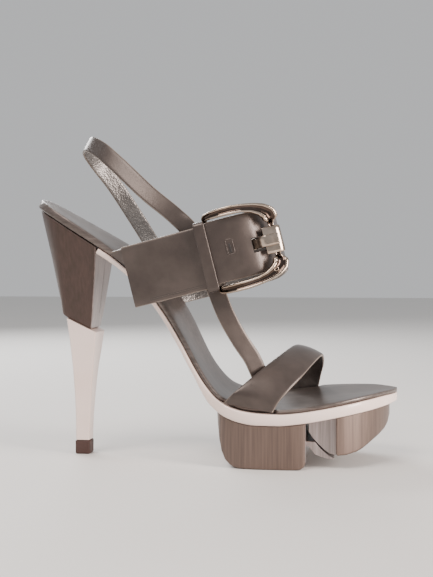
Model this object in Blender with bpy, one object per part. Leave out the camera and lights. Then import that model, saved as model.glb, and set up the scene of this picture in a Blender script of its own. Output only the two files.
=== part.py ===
"""High heel sandal, right shoe: platform, square heel, straps and a fastened buckle. +X toe, +Y inner side, +Z up.
The origin is the middle of the heel tip on the floor. Sizes are in metres."""

import math

import bpy
from mathutils import Vector

for old in list(bpy.data.objects):
    bpy.data.objects.remove(old)

MM = 0.001
GAP = 0.3 * MM  # air between neighbouring pieces

# Sole: x and z of the footbed's middle line, outer and inner half widths, lift of the inner edge, all in mm
SOLE = (
    # x, z, outer, inner, lift
    (-22.6, 142.6, 6.0, 6.0, 0.0),
    (-21.8, 142.1, 10.0, 10.0, 0.0),
    (-19.5, 140.7, 14.5, 14.5, 0.0),
    (-15.0, 138.0, 18.8, 19.0, 0.0),
    (-8.0, 133.8, 22.0, 22.4, 0.2),
    (0.0, 129.0, 23.6, 24.0, 0.6),
    (10.0, 123.0, 23.9, 24.4, 1.4),
    (20.0, 116.6, 23.4, 24.0, 2.6),
    (30.0, 109.1, 22.4, 23.2, 3.4),
    (38.0, 101.7, 21.7, 22.6, 3.8),
    (46.0, 92.0, 21.3, 22.4, 3.9),
    (53.0, 81.9, 21.5, 22.6, 3.4),
    (58.0, 73.4, 22.4, 23.2, 2.6),
    (63.0, 63.9, 24.2, 24.8, 1.2),
    (68.0, 54.3, 26.8, 27.0, 0.1),
    (72.0, 47.9, 29.2, 29.0, -0.3),
    (76.0, 42.7, 31.4, 31.0, -0.4),
    (80.0, 38.7, 33.4, 32.6, -0.1),
    (84.0, 36.2, 35.2, 34.2, 0.6),
    (88.0, 34.5, 36.6, 35.3, 1.2),
    (94.0, 33.3, 38.0, 36.6, 2.0),
    (101.0, 32.8, 38.8, 37.4, 2.6),
    (111.0, 32.7, 39.0, 37.9, 3.0),
    (121.0, 33.5, 38.5, 37.6, 3.2),
    (131.0, 34.9, 37.1, 36.6, 3.1),
    (141.0, 36.2, 34.2, 34.6, 2.4),
    (150.0, 37.3, 29.6, 31.6, 1.5),
    (158.0, 38.2, 23.0, 27.4, 0.8),
    (164.0, 38.7, 15.8, 23.0, 0.3),
    (168.0, 38.8, 9.2, 19.2, 0.0),
    (171.0, 38.8, 2.8, 15.6, 0.0),
    (173.0, 38.8, -3.2, 12.2, 0.0),
    (173.8, 38.8, -6.0, 10.4, 0.0),
)
STATIONS = 58

# Thickness along the sole in mm: x, insole, midsole
LAYERS = (
    (-23.0, 4.2, 2.8),
    (10.0, 3.8, 2.8),
    (30.0, 2.8, 2.6),
    (50.0, 2.6, 2.1),
    (62.0, 2.5, 2.2),
    (70.0, 2.4, 2.3),
    (76.0, 2.3, 3.6),
    (80.0, 2.2, 4.6),
    (85.0, 2.0, 5.8),
    (92.0, 2.0, 6.8),
    (100.0, 2.0, 7.4),
    (128.0, 2.0, 7.2),
    (142.0, 2.0, 6.7),
    (158.0, 2.0, 6.0),
    (168.0, 2.0, 5.2),
    (174.0, 2.0, 4.2),
)
MIDSOLE_START = 16.4  # x of the heel breast, mm

# Cuff frame: the straps round the instep lie on one cylinder, whose axis leans back
CUFF_X, CUFF_Z = 33.5, 99.4  # middle of the free end, mm
CUFF_LEAN = math.radians(14.2)
CUFF_HALF = 15.9  # half width of the cuff leather, mm
CUFF_WALL = 1.8
INNER_DROP = -3.2  # the inner side of the cuff hangs lower, mm
FREE_RISE = 1.2  # its free end stands higher beyond the keeper


def clear(value, low, high):
    return max(low, min(high, value))


def table(rows, column):
    """A smooth curve through one column of a table, by the first column."""
    xs = [row[0] for row in rows]
    ys = [row[column] for row in rows]
    return curve(xs, ys)


def curve(xs, ys):
    """Monotone cubic through the points, so nothing overshoots between them."""
    count = len(xs)
    steps = [(ys[i + 1] - ys[i]) / (xs[i + 1] - xs[i]) for i in range(count - 1)]
    slopes = [steps[0]]
    for i in range(1, count - 1):
        a, b = steps[i - 1], steps[i]
        if a * b <= 0.0:
            slopes.append(0.0)
            continue
        w1 = 2.0 * (xs[i + 1] - xs[i]) + (xs[i] - xs[i - 1])
        w2 = (xs[i + 1] - xs[i]) + 2.0 * (xs[i] - xs[i - 1])
        slopes.append((w1 + w2) / (w1 / a + w2 / b))
    slopes.append(steps[-1])

    def value(x):
        x = clear(x, xs[0], xs[-1])
        i = 0
        while i < count - 2 and x > xs[i + 1]:
            i += 1
        h = xs[i + 1] - xs[i]
        t = (x - xs[i]) / h
        a = (1.0 + 2.0 * t) * (1.0 - t) ** 2
        b = t * (1.0 - t) ** 2
        c = t * t * (3.0 - 2.0 * t)
        d = t * t * (t - 1.0)
        return a * ys[i] + b * h * slopes[i] + c * ys[i + 1] + d * h * slopes[i + 1]

    return value


def path(points):
    """A smooth path through the points: t runs from 0 to 1 along the length (centripetal Catmull-Rom)."""
    pts = [Vector(p) for p in points]
    knots = [0.0]
    for a, b in zip(pts, pts[1:]):
        knots.append(knots[-1] + max((b - a).length, 1e-9))
    total = knots[-1]

    def value(t):
        s = clear(t, 0.0, 1.0) * total
        i = 0
        while i < len(pts) - 2 and s > knots[i + 1]:
            i += 1
        h = knots[i + 1] - knots[i]
        u = (s - knots[i]) / h

        def slope(k):
            if k == 0:
                return (pts[1] - pts[0]) / (knots[1] - knots[0])
            if k == len(pts) - 1:
                return (pts[-1] - pts[-2]) / (knots[-1] - knots[-2])
            before = (pts[k] - pts[k - 1]) / (knots[k] - knots[k - 1])
            after = (pts[k + 1] - pts[k]) / (knots[k + 1] - knots[k])
            share = (knots[k] - knots[k - 1]) / (knots[k + 1] - knots[k - 1])
            return before * (1.0 - share) + after * share

        a = (1.0 + 2.0 * u) * (1.0 - u) ** 2
        b = u * (1.0 - u) ** 2
        c = u * u * (3.0 - 2.0 * u)
        d = u * u * (u - 1.0)
        return pts[i] * a + slope(i) * (b * h) + pts[i + 1] * c + slope(i + 1) * (d * h)

    return value


def spread(count, low=0.0, high=1.0):
    return [low + (high - low) * i / (count - 1) for i in range(count)]


parts = bpy.data.collections.new("high_heel_sandal")
helpers = bpy.data.collections.new("cutters")
bpy.context.scene.collection.children.link(parts)
bpy.context.scene.collection.children.link(helpers)


def material(name, colour, metallic, roughness):
    made = bpy.data.materials.new(name)
    made.use_nodes = True
    shader = made.node_tree.nodes["Principled BSDF"]
    shader.inputs["Base Color"].default_value = (*colour, 1.0)
    shader.inputs["Metallic"].default_value = metallic
    shader.inputs["Roughness"].default_value = roughness
    made.diffuse_color = (*colour, 1.0)
    return made


TAUPE = material("taupe satin leather", (0.130, 0.102, 0.086), 0.0, 0.42)
FOOTBED = material("taupe footbed leather", (0.180, 0.150, 0.133), 0.0, 0.40)
BROWN = material("brown heel leather", (0.150, 0.095, 0.075), 0.0, 0.38)
PALE = material("pale patent layer", (0.760, 0.640, 0.590), 0.0, 0.25)
DARK = material("dark top lift rubber", (0.045, 0.025, 0.020), 0.0, 0.60)
METAL = material("polished pale gunmetal", (0.620, 0.540, 0.470), 1.0, 0.16)


def solid(name, verts, faces, mat, collection=None):
    """A mesh object with its faces turned outwards."""
    mesh = bpy.data.meshes.new(name)
    mesh.from_pydata([tuple(v) for v in verts], [], faces)
    mesh.update()
    mesh.validate()
    volume = 0.0
    for poly in mesh.polygons:
        first = mesh.vertices[poly.vertices[0]].co
        for k in range(1, len(poly.vertices) - 1):
            b = mesh.vertices[poly.vertices[k]].co
            c = mesh.vertices[poly.vertices[k + 1]].co
            volume += first.dot(b.cross(c))
    if volume < 0.0:
        mesh.flip_normals()
    obj = bpy.data.objects.new(name, mesh)
    (collection or parts).objects.link(obj)
    if mat:
        mesh.materials.append(mat)
    return obj


def loft(name, rings, mat, strip_ends=False, collection=None):
    """Rings of equal count joined into one closed body. strip_ends closes each end point i to point -1-i."""
    count = len(rings[0])
    verts = [Vector(p) * MM for ring in rings for p in ring]
    faces = []
    for r in range(len(rings) - 1):
        for i in range(count):
            j = (i + 1) % count
            faces.append((r * count + i, r * count + j, (r + 1) * count + j, (r + 1) * count + i))
    for start, turn in ((0, True), ((len(rings) - 1) * count, False)):
        ids = [start + i for i in range(count)]
        if strip_ends:
            for i in range(count // 2 - 1):
                quad = (ids[i], ids[i + 1], ids[-2 - i], ids[-1 - i])
                faces.append(tuple(reversed(quad)) if turn else quad)
        else:
            faces.append(tuple(reversed(ids)) if turn else tuple(ids))
    return solid(name, verts, faces, mat, collection)


def box(name, low, high, lean=None):
    """A hidden cutter box in mm, in the cuff's own directions where lean is given."""
    pts = []
    for x in (low[0], high[0]):
        for y in (low[1], high[1]):
            for z in (low[2], high[2]):
                pts.append(cuff(x, y, z) if lean else Vector((x, y, z)))
    faces = [(0, 1, 3, 2), (4, 6, 7, 5), (0, 4, 5, 1), (2, 3, 7, 6), (0, 2, 6, 4), (1, 5, 7, 3)]
    made = solid(name, [p * MM for p in pts], faces, None, helpers)
    hide(made)
    return made


def hide(obj):
    obj.hide_render = True
    obj.display_type = "WIRE"


def boolean(obj, other, operation="DIFFERENCE"):
    made = obj.modifiers.new(operation.lower() + " " + other.name, "BOOLEAN")
    made.operation = operation
    made.solver = "EXACT"
    made.object = other


# The sole's curves
sole_z = table(SOLE, 1)
sole_out = table(SOLE, 2)
sole_in = table(SOLE, 3)
sole_lift = table(SOLE, 4)
insole_t = table(LAYERS, 1)
midsole_t = table(LAYERS, 2)


def sole_normal(x):
    """The footbed's upward direction in the XZ plane."""
    step = 0.4
    low = clear(x - step, SOLE[0][0], SOLE[-1][0])
    high = clear(x + step, SOLE[0][0], SOLE[-1][0])
    slope = (sole_z(high) - sole_z(low)) / (high - low)
    length = math.hypot(1.0, slope)
    return -slope / length, 1.0 / length


def sole_point(x, y, depth):
    """A point at this depth under the footbed, the inner edge lifted."""
    nx, nz = sole_normal(x)
    width = sole_out(x) + sole_in(x)
    share = (y + sole_out(x)) / width - 0.5
    up = sole_lift(x) * share
    return Vector((x + nx * (up - depth), y, sole_z(x) + nz * (up - depth)))


def level_point(x, y, depth):
    """The same without the lift: the midsole's underside and the blocks are level across."""
    nx, nz = sole_normal(x)
    return Vector((x - nx * depth, y, sole_z(x) - nz * depth))


def stations(start, end, count):
    """More stations near the toe and the back, where the outline turns."""
    made = []
    for t in spread(count):
        eased = 0.5 - 0.5 * math.cos(math.pi * t)
        made.append(start + (end - start) * (0.55 * t + 0.45 * eased))
    return made


def layer_ring(x, top, bottom, insets, chamfer, dish=0.0, bottom_level=False):
    """One section of a sole layer: the top from outer to inner edge, then back along the underside."""
    out = -sole_out(x) + insets[0]
    inner = sole_in(x) - insets[1]
    width = inner - out
    soft = min(chamfer, 0.3 * width, 0.45 * (bottom - top))
    ring = []
    for share in (0.0, 0.18, 0.5, 0.82, 1.0):
        y = out + soft + (width - 2.0 * soft) * share
        dip = dish * math.sin(math.pi * share) ** 2
        ring.append(sole_point(x, y, top + dip))
    ring.append(sole_point(x, inner, top + soft))
    place = level_point if bottom_level else sole_point
    ring.append(place(x, inner - 0.2 * soft, bottom - soft))
    ring.append(place(x, inner - soft, bottom))
    ring.append(place(x, 0.5 * (out + inner), bottom))
    ring.append(place(x, out + soft, bottom))
    ring.append(place(x, out + 0.2 * soft, bottom - soft))
    ring.append(sole_point(x, out, top + soft))
    return ring


# Where the toe strap's ends stand on the midsole, x of rear and front edge in mm
TOE_OUTER = (85.0, 109.0)
TOE_INNER = (107.0, 129.0)
TOE_WALL = 1.8
NOTCH = 3.6  # how far the insole steps in there


def notch(x, ends):
    """The insole's inset along one side: deeper beside a strap end, eased over 2.5 mm."""
    rise = clear((x - ends[0] + 3.4) / 2.5, 0.0, 1.0)
    fall = clear((ends[1] + 3.4 - x) / 2.5, 0.0, 1.0)
    share = min(rise, fall)
    share = share * share * (3.0 - 2.0 * share)
    return 0.35 + (NOTCH - 0.35) * share


# Insole
rings = []
for x in stations(SOLE[0][0], SOLE[-1][0], STATIONS):
    near_end = min(x - SOLE[0][0], SOLE[-1][0] - x)
    dish = 0.8 * clear(near_end / 12.0, 0.0, 1.0)
    rings.append(layer_ring(x, 0.0, insole_t(x), (notch(x, TOE_OUTER), notch(x, TOE_INNER)), 0.7, dish))
insole = loft("insole", rings, FOOTBED)

# Midsole: its top follows the insole, its underside is level across
rings = []
for x in stations(MIDSOLE_START, SOLE[-1][0], 50):
    top = insole_t(x) + 0.42
    rings.append(layer_ring(x, top, top + midsole_t(x), (0.0, 0.0), 0.6, bottom_level=x > 78.0))
midsole = loft("midsole", rings, PALE)


def underside(x_wanted, extra):
    """Height of the midsole's level underside, less extra, straight above a floor x."""
    low, high = 60.0, SOLE[-1][0]
    for _ in range(40):
        mid = 0.5 * (low + high)
        depth = insole_t(mid) + 0.3 + midsole_t(mid)
        if level_point(mid, 0.0, depth).x < x_wanted:
            low = mid
        else:
            high = mid
    depth = insole_t(low) + 0.3 + midsole_t(low)
    return level_point(low, 0.0, depth).z - extra


# Platform blocks, by x: height of the underside, inset from the sole's outline, all mm
REAR_BLOCK = (
    (78.8, 26.4, 7.0),
    (79.5, 21.5, 4.6),
    (80.6, 14.0, 2.9),
    (82.0, 8.2, 1.8),
    (84.0, 4.2, 1.2),
    (86.6, 1.7, 0.9),
    (90.0, 0.3, 0.8),
    (94.0, 0.0, 0.7),
    (108.0, 0.0, 0.7),
    (121.0, 0.0, 0.7),
    (123.6, 0.4, 0.8),
    (125.4, 1.6, 1.2),
    (126.0, 3.2, 1.9),
)
FRONT_BLOCK = (
    (141.8, 8.2, 1.6),
    (142.3, 7.2, 1.0),
    (147.0, 7.4, 0.8),
    (152.0, 8.6, 0.8),
    (156.5, 11.0, 0.9),
    (160.5, 13.9, 1.0),
    (164.0, 16.4, 1.2),
    (166.8, 18.8, 1.7),
    (168.6, 21.6, 2.6),
    (169.6, 25.6, 3.6),
)


def block(name, rows, count):
    base = table(rows, 1)
    inset = table(rows, 2)
    rings = []
    ends = [row[0] for row in rows]
    extra = spread(count, rows[0][0], rows[-1][0])
    xs = sorted(set(ends) | {x for x in extra if min(abs(x - e) for e in ends) > 1.2})
    for x in xs:
        top = underside(x, 0.5)
        bottom = min(base(x), top - 0.6)
        out = -sole_out(x) + inset(x)
        inner = sole_in(x) - inset(x)
        soft = min(1.1, 0.4 * (top - bottom))
        ring = [
            (x, out, top),
            (x, 0.0, top),
            (x, inner, top),
            (x, inner, bottom + soft),
            (x, inner - 0.3 * soft, bottom + 0.3 * soft),
            (x, inner - soft, bottom),
            (x, 0.0, bottom),
            (x, out + soft, bottom),
            (x, out + 0.3 * soft, bottom + 0.3 * soft),
            (x, out, bottom + soft),
        ]
        rings.append(ring)
    return loft(name, rings, BROWN)


def tongue(name, profile, half):
    """A plate profile in the XZ plane, through the platform between two y values."""
    count = len(profile)
    verts = [Vector((x, -half, z)) * MM for x, z in profile]
    verts += [Vector((x, half, z)) * MM for x, z in profile]
    faces = [tuple(range(count)), tuple(reversed(range(count, 2 * count)))]
    for i in range(count):
        j = (i + 1) % count
        faces.append((j, i, count + i, count + j))
    made = solid(name, verts, faces, None, helpers)
    hide(made)
    return made


# Tongues in the slot between the blocks, x and z in mm
TONGUE_HALF = 30.0
REAR_TONGUE = (
    (122.0, 14.2), (130.6, 14.0), (132.9, 11.2), (135.4, 8.9), (138.0, 6.9), (140.6, 5.4), (140.7, 5.0),
    (137.6, 5.2), (133.4, 6.3), (130.4, 7.6), (129.0, 9.6), (127.6, 11.4), (122.0, 11.6),
)
FRONT_TONGUE = (
    (127.5, 19.4), (129.5, 16.2), (132.8, 12.6), (135.6, 10.0), (138.4, 8.0), (141.4, 7.5), (145.0, 9.0),
)
TONGUE_AIR = 0.35  # under the midsole
TONGUE_BEND = 0.486  # where the front tongue's top bends, as a share of its length
rear_block = block("platform_rear", REAR_BLOCK, 16)
front_block = block("platform_front", FRONT_BLOCK, 10)
rear_tongue = tongue("rear tongue", REAR_TONGUE, TONGUE_HALF)
tongue_rear, tongue_front = FRONT_TONGUE[0][0], FRONT_TONGUE[-1][0]
tongue_bend = tongue_rear + TONGUE_BEND * (tongue_front - tongue_rear)
front_top = [(x, underside(x, TONGUE_AIR)) for x in (tongue_front, tongue_bend, tongue_rear)]
front_tongue = tongue("front tongue", (*FRONT_TONGUE, *front_top), TONGUE_HALF)
boolean(rear_block, rear_tongue, "UNION")
boolean(front_block, front_tongue, "UNION")


def corner_ring(back, front, half_back, half_front, r_back, r_front):
    """A plan outline with rounded corners, from the middle of the front round the inner side to the same point."""
    side = []
    for k in range(3):
        a = 0.5 * math.pi * k / 2.0
        side.append((front - r_front + r_front * math.cos(a), half_front - r_front + r_front * math.sin(a)))
    for k in range(7):
        a = 0.5 * math.pi * k / 6.0
        side.append((back + r_back - r_back * math.sin(a), half_back - r_back + r_back * math.cos(a)))
    ring = [(front, 0.0001)] + side + [(back, 0.0001)]
    return ring + [(x, -y) for x, y in reversed(ring)]


def seat_under(x, y):
    """Height of the insole's underside over a floor point at the seat."""
    low, high = SOLE[0][0], 40.0
    for _ in range(40):
        mid = 0.5 * (low + high)
        if sole_point(mid, y, insole_t(mid)).x < x:
            low = mid
        else:
            high = mid
    return sole_point(low, y, insole_t(low)).z


# Heel cover block by share of its height: back and front x, half widths at back and front, back corner radius
HEEL_COVER = (
    (0.00, -10.9, 6.1, 9.6, 10.4, 3.0),
    (0.15, -11.9, 7.3, 11.6, 12.4, 4.2),
    (0.35, -14.1, 8.6, 14.2, 14.8, 6.6),
    (0.60, -17.2, 10.0, 17.4, 17.8, 10.2),
    (0.85, -21.3, 11.3, 20.2, 21.0, 15.0),
    (1.00, -23.5, 11.8, 21.8, 22.8, 18.0),
)
HEEL_SLANT = -0.48  # fall of the block's lower edge towards the front
HEEL_JOIN = 73.2  # height of that edge at x = 0


def slanted(x, base, rise):
    return base + rise * x


columns = [table(HEEL_COVER, k) for k in range(1, 6)]
rings = []
for share in (0.0, 0.02, 0.15, 0.3, 0.45, 0.6, 0.75, 0.9, 1.0):
    back, front, half_b, half_f, r_b = (column(share) for column in columns)
    if share == 0.0:
        back, front, half_b, half_f = back + 0.5, front - 0.5, half_b - 0.5, half_f - 0.5
    ring = []
    for x, y in corner_ring(back, front, half_b, half_f, r_b, 0.9):
        low = slanted(x, HEEL_JOIN, HEEL_SLANT)
        ring.append((x, y, low + (seat_under(x, y) - 0.62 - low) * share))
    rings.append(ring)
heel_cover = loft("heel_cover", rings, BROWN, strip_ends=True)

# Top lift and heel stem. Stem by share of its height at x = 0: back and front x, half width
LIFT_TOP = 7.6
JOINT = 0.3  # air in the heel's joints, mm
HEEL_STEM = (
    (0.00, -4.4, 3.4, 4.5),
    (0.19, -4.4, 3.9, 4.7),
    (0.43, -4.9, 5.0, 5.5),
    (0.65, -5.7, 6.3, 6.8),
    (0.80, -6.5, 7.5, 8.4),
    (1.00, -7.9, 8.7, 10.6),
)
columns = [table(HEEL_STEM, k) for k in range(1, 4)]
stem_low, stem_high = LIFT_TOP + JOINT, HEEL_JOIN - JOINT
rings = []
for share in (0.0, 0.2, 0.4, 0.6, 0.8, 1.0):
    height = stem_low + (stem_high - stem_low) * share
    back, front, half = (column(share) for column in columns)
    ring = []
    for x, y in corner_ring(back, front, half, half, 1.0, 0.9):
        ring.append((x, y, height + HEEL_SLANT * share ** 3 * x))
    rings.append(ring)
heel_stem = loft("heel_stem", rings, PALE, strip_ends=True)

# Top lift
rings = []
for z, grow in ((0.0, -0.35), (0.5, 0.1), (LIFT_TOP - 0.6, 0.15), (LIFT_TOP, 0.0)):
    ring = [(x, y, z) for x, y in corner_ring(-4.6 - grow, 3.6 + grow, 4.6 + grow, 4.6 + grow, 1.0, 0.9)]
    rings.append(ring)
top_lift = loft("top_lift", rings, DARK, strip_ends=True)


def cuff(p, q, h):
    """From the cuff's own directions to the shoe's: p forward along it, q sideways, h up its width."""
    c, s = math.cos(CUFF_LEAN), math.sin(CUFF_LEAN)
    return Vector((CUFF_X + p * c - h * s, q, CUFF_Z + p * s + h * c))


def strap(name, middle, lengths, half_cols, wall, mat, soft=0.35):
    """A strap with real wall thickness. middle(t, h) is its middle surface, h from -1 to 1 across it."""
    rings = []
    edge = 0.12
    for t in lengths:

        def normal(h):
            d = 0.004
            along = middle(min(t + d, 1.0), h) - middle(max(t - d, 0.0), h)
            across = middle(t, min(h + 0.05, 1.0)) - middle(t, max(h - 0.05, -1.0))
            n = along.cross(across)
            n.normalize()
            return n, across.normalized()

        shares = spread(half_cols, -1.0, 1.0)
        front, back = [], []
        for h in shares:
            n, w = normal(h)
            p = middle(t, h)
            front.append(p + n * (wall / 2.0))
            back.append(p - n * (wall / 2.0))
        ring = []
        n, w = normal(1.0)
        top = middle(t, 1.0)
        top_edge = [top + w * soft + n * (wall * edge), top + w * soft - n * (wall * edge)]
        n, w = normal(-1.0)
        low = middle(t, -1.0)
        low_edge = [low - w * soft - n * (wall * edge), low - w * soft + n * (wall * edge)]
        ring = front + top_edge + list(reversed(back)) + low_edge
        rings.append(ring)
    return loft(name, rings, mat)


def ease(x):
    x = clear(x, 0.0, 1.0)
    return x * x * (3.0 - 2.0 * x)


def cuff_rise(p, q):
    """How far the cuff strap's middle line stands off the cuff's plane."""
    free = ease((p - 42.0) / 7.0) * ease((-q - 12.0) / 20.0)
    return INNER_DROP * ease(q / 24.0) + FREE_RISE * free


def level(p, q):
    return 0.0


def plan_strap(name, plan, lengths, half, wall, mat, cols=4, droop=None, rise=level):
    """A strap on the cuff's cylinder, from its plan path (p, q, 0)."""
    line = path([(p, q, 0.0) for p, q in plan])

    def middle(t, h):
        at = line(t)
        shift = droop(t, h) if droop else (0.0, 0.0)
        return cuff(at.x + shift[0], at.y + shift[1], h * half + rise(at.x, at.y))

    return strap(name, middle, lengths, cols, wall, mat)


def edge_place(h, side, beyond):
    """Where the cuff's row h meets the sole's edge: its p, and the q just outside the sole."""
    low, high = -60.0, 60.0
    for _ in range(40):
        mid = 0.5 * (low + high)
        at = cuff(mid, 0.0, h)
        x = clear(at.x, -20.0, 140.0)
        width = sole_in(x) if side > 0 else sole_out(x)
        target = sole_point(x, side * width, 3.2)
        if at.z < target.z:
            low = mid
        else:
            high = mid
    at = cuff(low, 0.0, h)
    width = sole_in(at.x) if side > 0 else sole_out(at.x)
    return low, side * (width + beyond)


# Cuff strap: its middle line in the cuff's plan, from the sole's inner edge round to the free end
CUFF_PLAN = (
    (10.0, 26.0), (17.0, 30.0), (26.0, 32.8), (38.0, 34.0), (50.0, 32.6), (60.0, 28.6), (69.4, 21.0),
    (76.4, 10.0), (79.2, -3.0), (79.0, -14.0), (77.8, -23.0), (75.6, -30.0), (72.6, -35.2), (69.0, -38.4),
    (65.0, -40.2), (58.0, -41.3), (50.0, -41.6), (42.0, -41.3), (30.0, -40.3), (15.0, -39.0), (0.0, -37.9),
)
BASE_PLAN = (
    (2.0, -26.0), (8.0, -31.2), (16.0, -35.2), (26.0, -37.4), (34.0, -38.2), (41.0, -38.6), (46.4, -39.05),
    (48.3, -38.3), (49.1, -36.4), (48.3, -34.5), (47.3, -33.9),
)
HINGE = (46.4, -36.4)  # hinge bar in the cuff's plan
REST = (79.2, -35.3)  # rest bar


def end_shift(side, start, share, drop=0.0):
    """Slides the first part of a strap so that its end follows the sole's slanted edge."""

    def shift(t, h):
        if t >= share:
            return 0.0, 0.0
        p, q = edge_place(h * CUFF_HALF + drop, side, 0.4 + CUFF_WALL / 2.0)
        fade = (1.0 - t / share) ** 1.4
        return (p - start[0]) * fade, (q - start[1]) * fade

    return shift


cuff_strap = plan_strap(
    "cuff_strap", CUFF_PLAN, spread(68), CUFF_HALF, CUFF_WALL, TAUPE, 5,
    end_shift(1, CUFF_PLAN[0], 0.24, INNER_DROP), cuff_rise,
)
base_strap = plan_strap(
    "cuff_base_strap", BASE_PLAN, spread(44), CUFF_HALF, CUFF_WALL, TAUPE, 5, end_shift(-1, BASE_PLAN[0], 0.5)
)
PRONG_HALF = 2.9
PRONG_WALL = 1.4
HOLE_HALF = PRONG_HALF + 1.0
SLOT_BACK, SLOT_AHEAD = 4.0, 6.0  # prong slot, from the hinge bar
HOLE_BACK, HOLE_AHEAD = 11.6, 5.6  # prong hole, behind the rest bar
SPARE_BACK, SPARE_AHEAD = 9.4, 10.6  # spare hole, ahead of the hinge bar
SPARE_LOW, SPARE_HIGH = -1.0, 3.9
CUT_OUT, CUT_IN, CUT_SKIN = 11.6, 8.4, 3.2  # how far the cuts reach from the hinge bar's layer
slot_low = (HINGE[0] - SLOT_BACK, HINGE[1] - CUT_IN, -HOLE_HALF)
slot_high = (HINGE[0] + SLOT_AHEAD, HINGE[1] + CUT_IN, HOLE_HALF)
hole_low = (REST[0] - HOLE_BACK, HINGE[1] - CUT_OUT, -HOLE_HALF)
hole_high = (REST[0] - HOLE_AHEAD, HINGE[1] + CUT_IN, HOLE_HALF)
spare_low = (HINGE[0] + SPARE_BACK, HINGE[1] - CUT_OUT, SPARE_LOW)
spare_high = (HINGE[0] + SPARE_AHEAD, HINGE[1] - CUT_SKIN, SPARE_HIGH)
boolean(base_strap, box("prong slot", slot_low, slot_high, True))
boolean(cuff_strap, box("prong hole", hole_low, hole_high, True))
boolean(cuff_strap, box("spare hole", spare_low, spare_high, True))


def hoop(name, rings, mat):
    """Rings joined all the way round into one closed hoop."""
    count = len(rings[0])
    total = len(rings)
    verts = [Vector(p) * MM for ring in rings for p in ring]
    faces = []
    for r in range(total):
        n = (r + 1) % total
        for i in range(count):
            j = (i + 1) % count
            faces.append((r * count + i, r * count + j, n * count + j, n * count + i))
    return solid(name, verts, faces, mat)


def rounded(q0, q1, h0, h1, radius, steps=4):
    """A rounded rectangle as (q, h, outward angle) points."""
    made = []
    corners = ((q1, h1, 0.0), (q0, h1, 0.5), (q0, h0, 1.0), (q1, h0, 1.5))
    for q, h, turn in corners:
        cq = q - radius if q == q1 else q + radius
        ch = h - radius if h == h1 else h + radius
        for k in range(steps):
            a = math.pi * (turn + 0.5 * k / (steps - 1))
            made.append((cq + radius * math.cos(a), ch + radius * math.sin(a), a))
    return made


# Keeper loop round the cuff strap and the base strap, narrower behind, where the buckle's hinge is
KEEPER_REAR, KEEPER_FRONT = 40.2, 46.2
HINGE_REACH = 4.1  # from the hinge bar's middle back over the prong's eye and its clearance
KEEPER_NARROW = HINGE[0] - HINGE_REACH
KEEPER_HALF = CUFF_HALF + 1.8
KEEPER_WALL = 1.5
KEEPER_OUT, KEEPER_IN = -43.65, -36.4
rings = []
for q, h, a in rounded(KEEPER_OUT, KEEPER_IN, -KEEPER_HALF, KEEPER_HALF, 1.6):
    wide = ease((q - KEEPER_OUT - 0.5) / 1.1)
    front = KEEPER_FRONT + (KEEPER_NARROW - KEEPER_FRONT) * wide
    half = KEEPER_WALL / 2.0
    ring = []
    rows = (
        (KEEPER_REAR, -0.7), (KEEPER_REAR, 0.6), (KEEPER_REAR + 0.3, 1.0),
        (front - 0.3, 1.0), (front, 0.6), (front, -0.7), (front - 0.3, -1.0), (KEEPER_REAR + 0.3, -1.0),
    )
    for p, grow in rows:
        ring.append(cuff(p, q + grow * half * math.cos(a), h + grow * half * math.sin(a)))
    rings.append(ring)
keeper = hoop("keeper_loop", rings, TAUPE)

# Buckle frame: hinge bar, two bowed side bars, broad front corners, rest bar. Rows are p, q, height above the
# strap's half width, width across the bar, thickness and turn of the face in degrees
FRAME_RISE = 0.7
FRAME_SIDE = (
    (46.4, -36.4, 0.5, 2.2, 2.2, 0.0),
    (46.1, -37.2, 2.3, 2.5, 2.4, 0.0),
    (47.0, -39.0, 3.3, 3.4, 2.5, -10.0),
    (50.4, -41.6, 3.7, 4.2, 2.6, -12.0),
    (55.0, -43.3, 3.8, 4.5, 2.6, -6.0),
    (61.0, -44.0, 3.7, 4.6, 2.6, 0.0),
    (67.0, -43.4, 3.2, 4.4, 2.6, 8.0),
    (72.0, -42.1, 2.1, 5.0, 2.8, 14.0),
    (76.2, -40.4, 0.2, 6.6, 3.2, 20.0),
    (79.2, -38.9, -2.4, 8.0, 3.2, 24.0),
    (79.8, -38.4, -4.8, 8.0, 3.2, 24.0),
    (79.5, -37.4, -5.3, 4.4, 2.8, 20.0),
    (79.2, -35.6, -7.1, 3.4, 2.6, 0.0),
)


def frame_rows():
    """The closed run of bar sections: up the hinge bar, round the top, down the rest bar and back below."""
    rows = []
    for h in (-12.0, -4.0, 4.0, 12.0):
        rows.append((HINGE[0], HINGE[1], h, 2.2, 2.2, 0.0))
    for p, q, over, wide, thick, turn in FRAME_SIDE:
        rows.append((p, q, CUFF_HALF + over, wide, thick, turn))
    for h in (6.2, 2.0, -2.0, -6.2):
        rows.append((REST[0], REST[1], h, 2.6, 2.6, 0.0))
    for p, q, over, wide, thick, turn in reversed(FRAME_SIDE):
        rows.append((p, q, -CUFF_HALF - over, wide, thick, turn))
    return rows


def bar_ring(rows, k):
    """An eight-sided bevelled section square to the run at row k."""
    p, q, h, wide, thick, turn = rows[k]
    before = Vector(rows[k - 1][:3])
    after = Vector(rows[(k + 1) % len(rows)][:3])
    along = (after - before).normalized()
    outward = Vector((math.sin(math.radians(turn)), -math.cos(math.radians(turn)), 0.0))
    outward = (outward - along * outward.dot(along)).normalized()
    across = along.cross(outward)
    here = Vector((p, q, h + FRAME_RISE))
    ring = []
    corners = (
        (0.5, 0.22), (0.24, 0.5), (-0.24, 0.5), (-0.5, 0.22), (-0.5, -0.3), (-0.3, -0.5), (0.3, -0.5), (0.5, -0.3),
    )
    for a, b in corners:
        at = here + across * (a * wide) + outward * (b * thick)
        ring.append(cuff(at.x, at.y, at.z))
    return ring


rows = frame_rows()
frame = hoop("buckle_frame", [bar_ring(rows, k) for k in range(len(rows))], METAL)


def buckle_level(p, q):
    return 0.5


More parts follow.
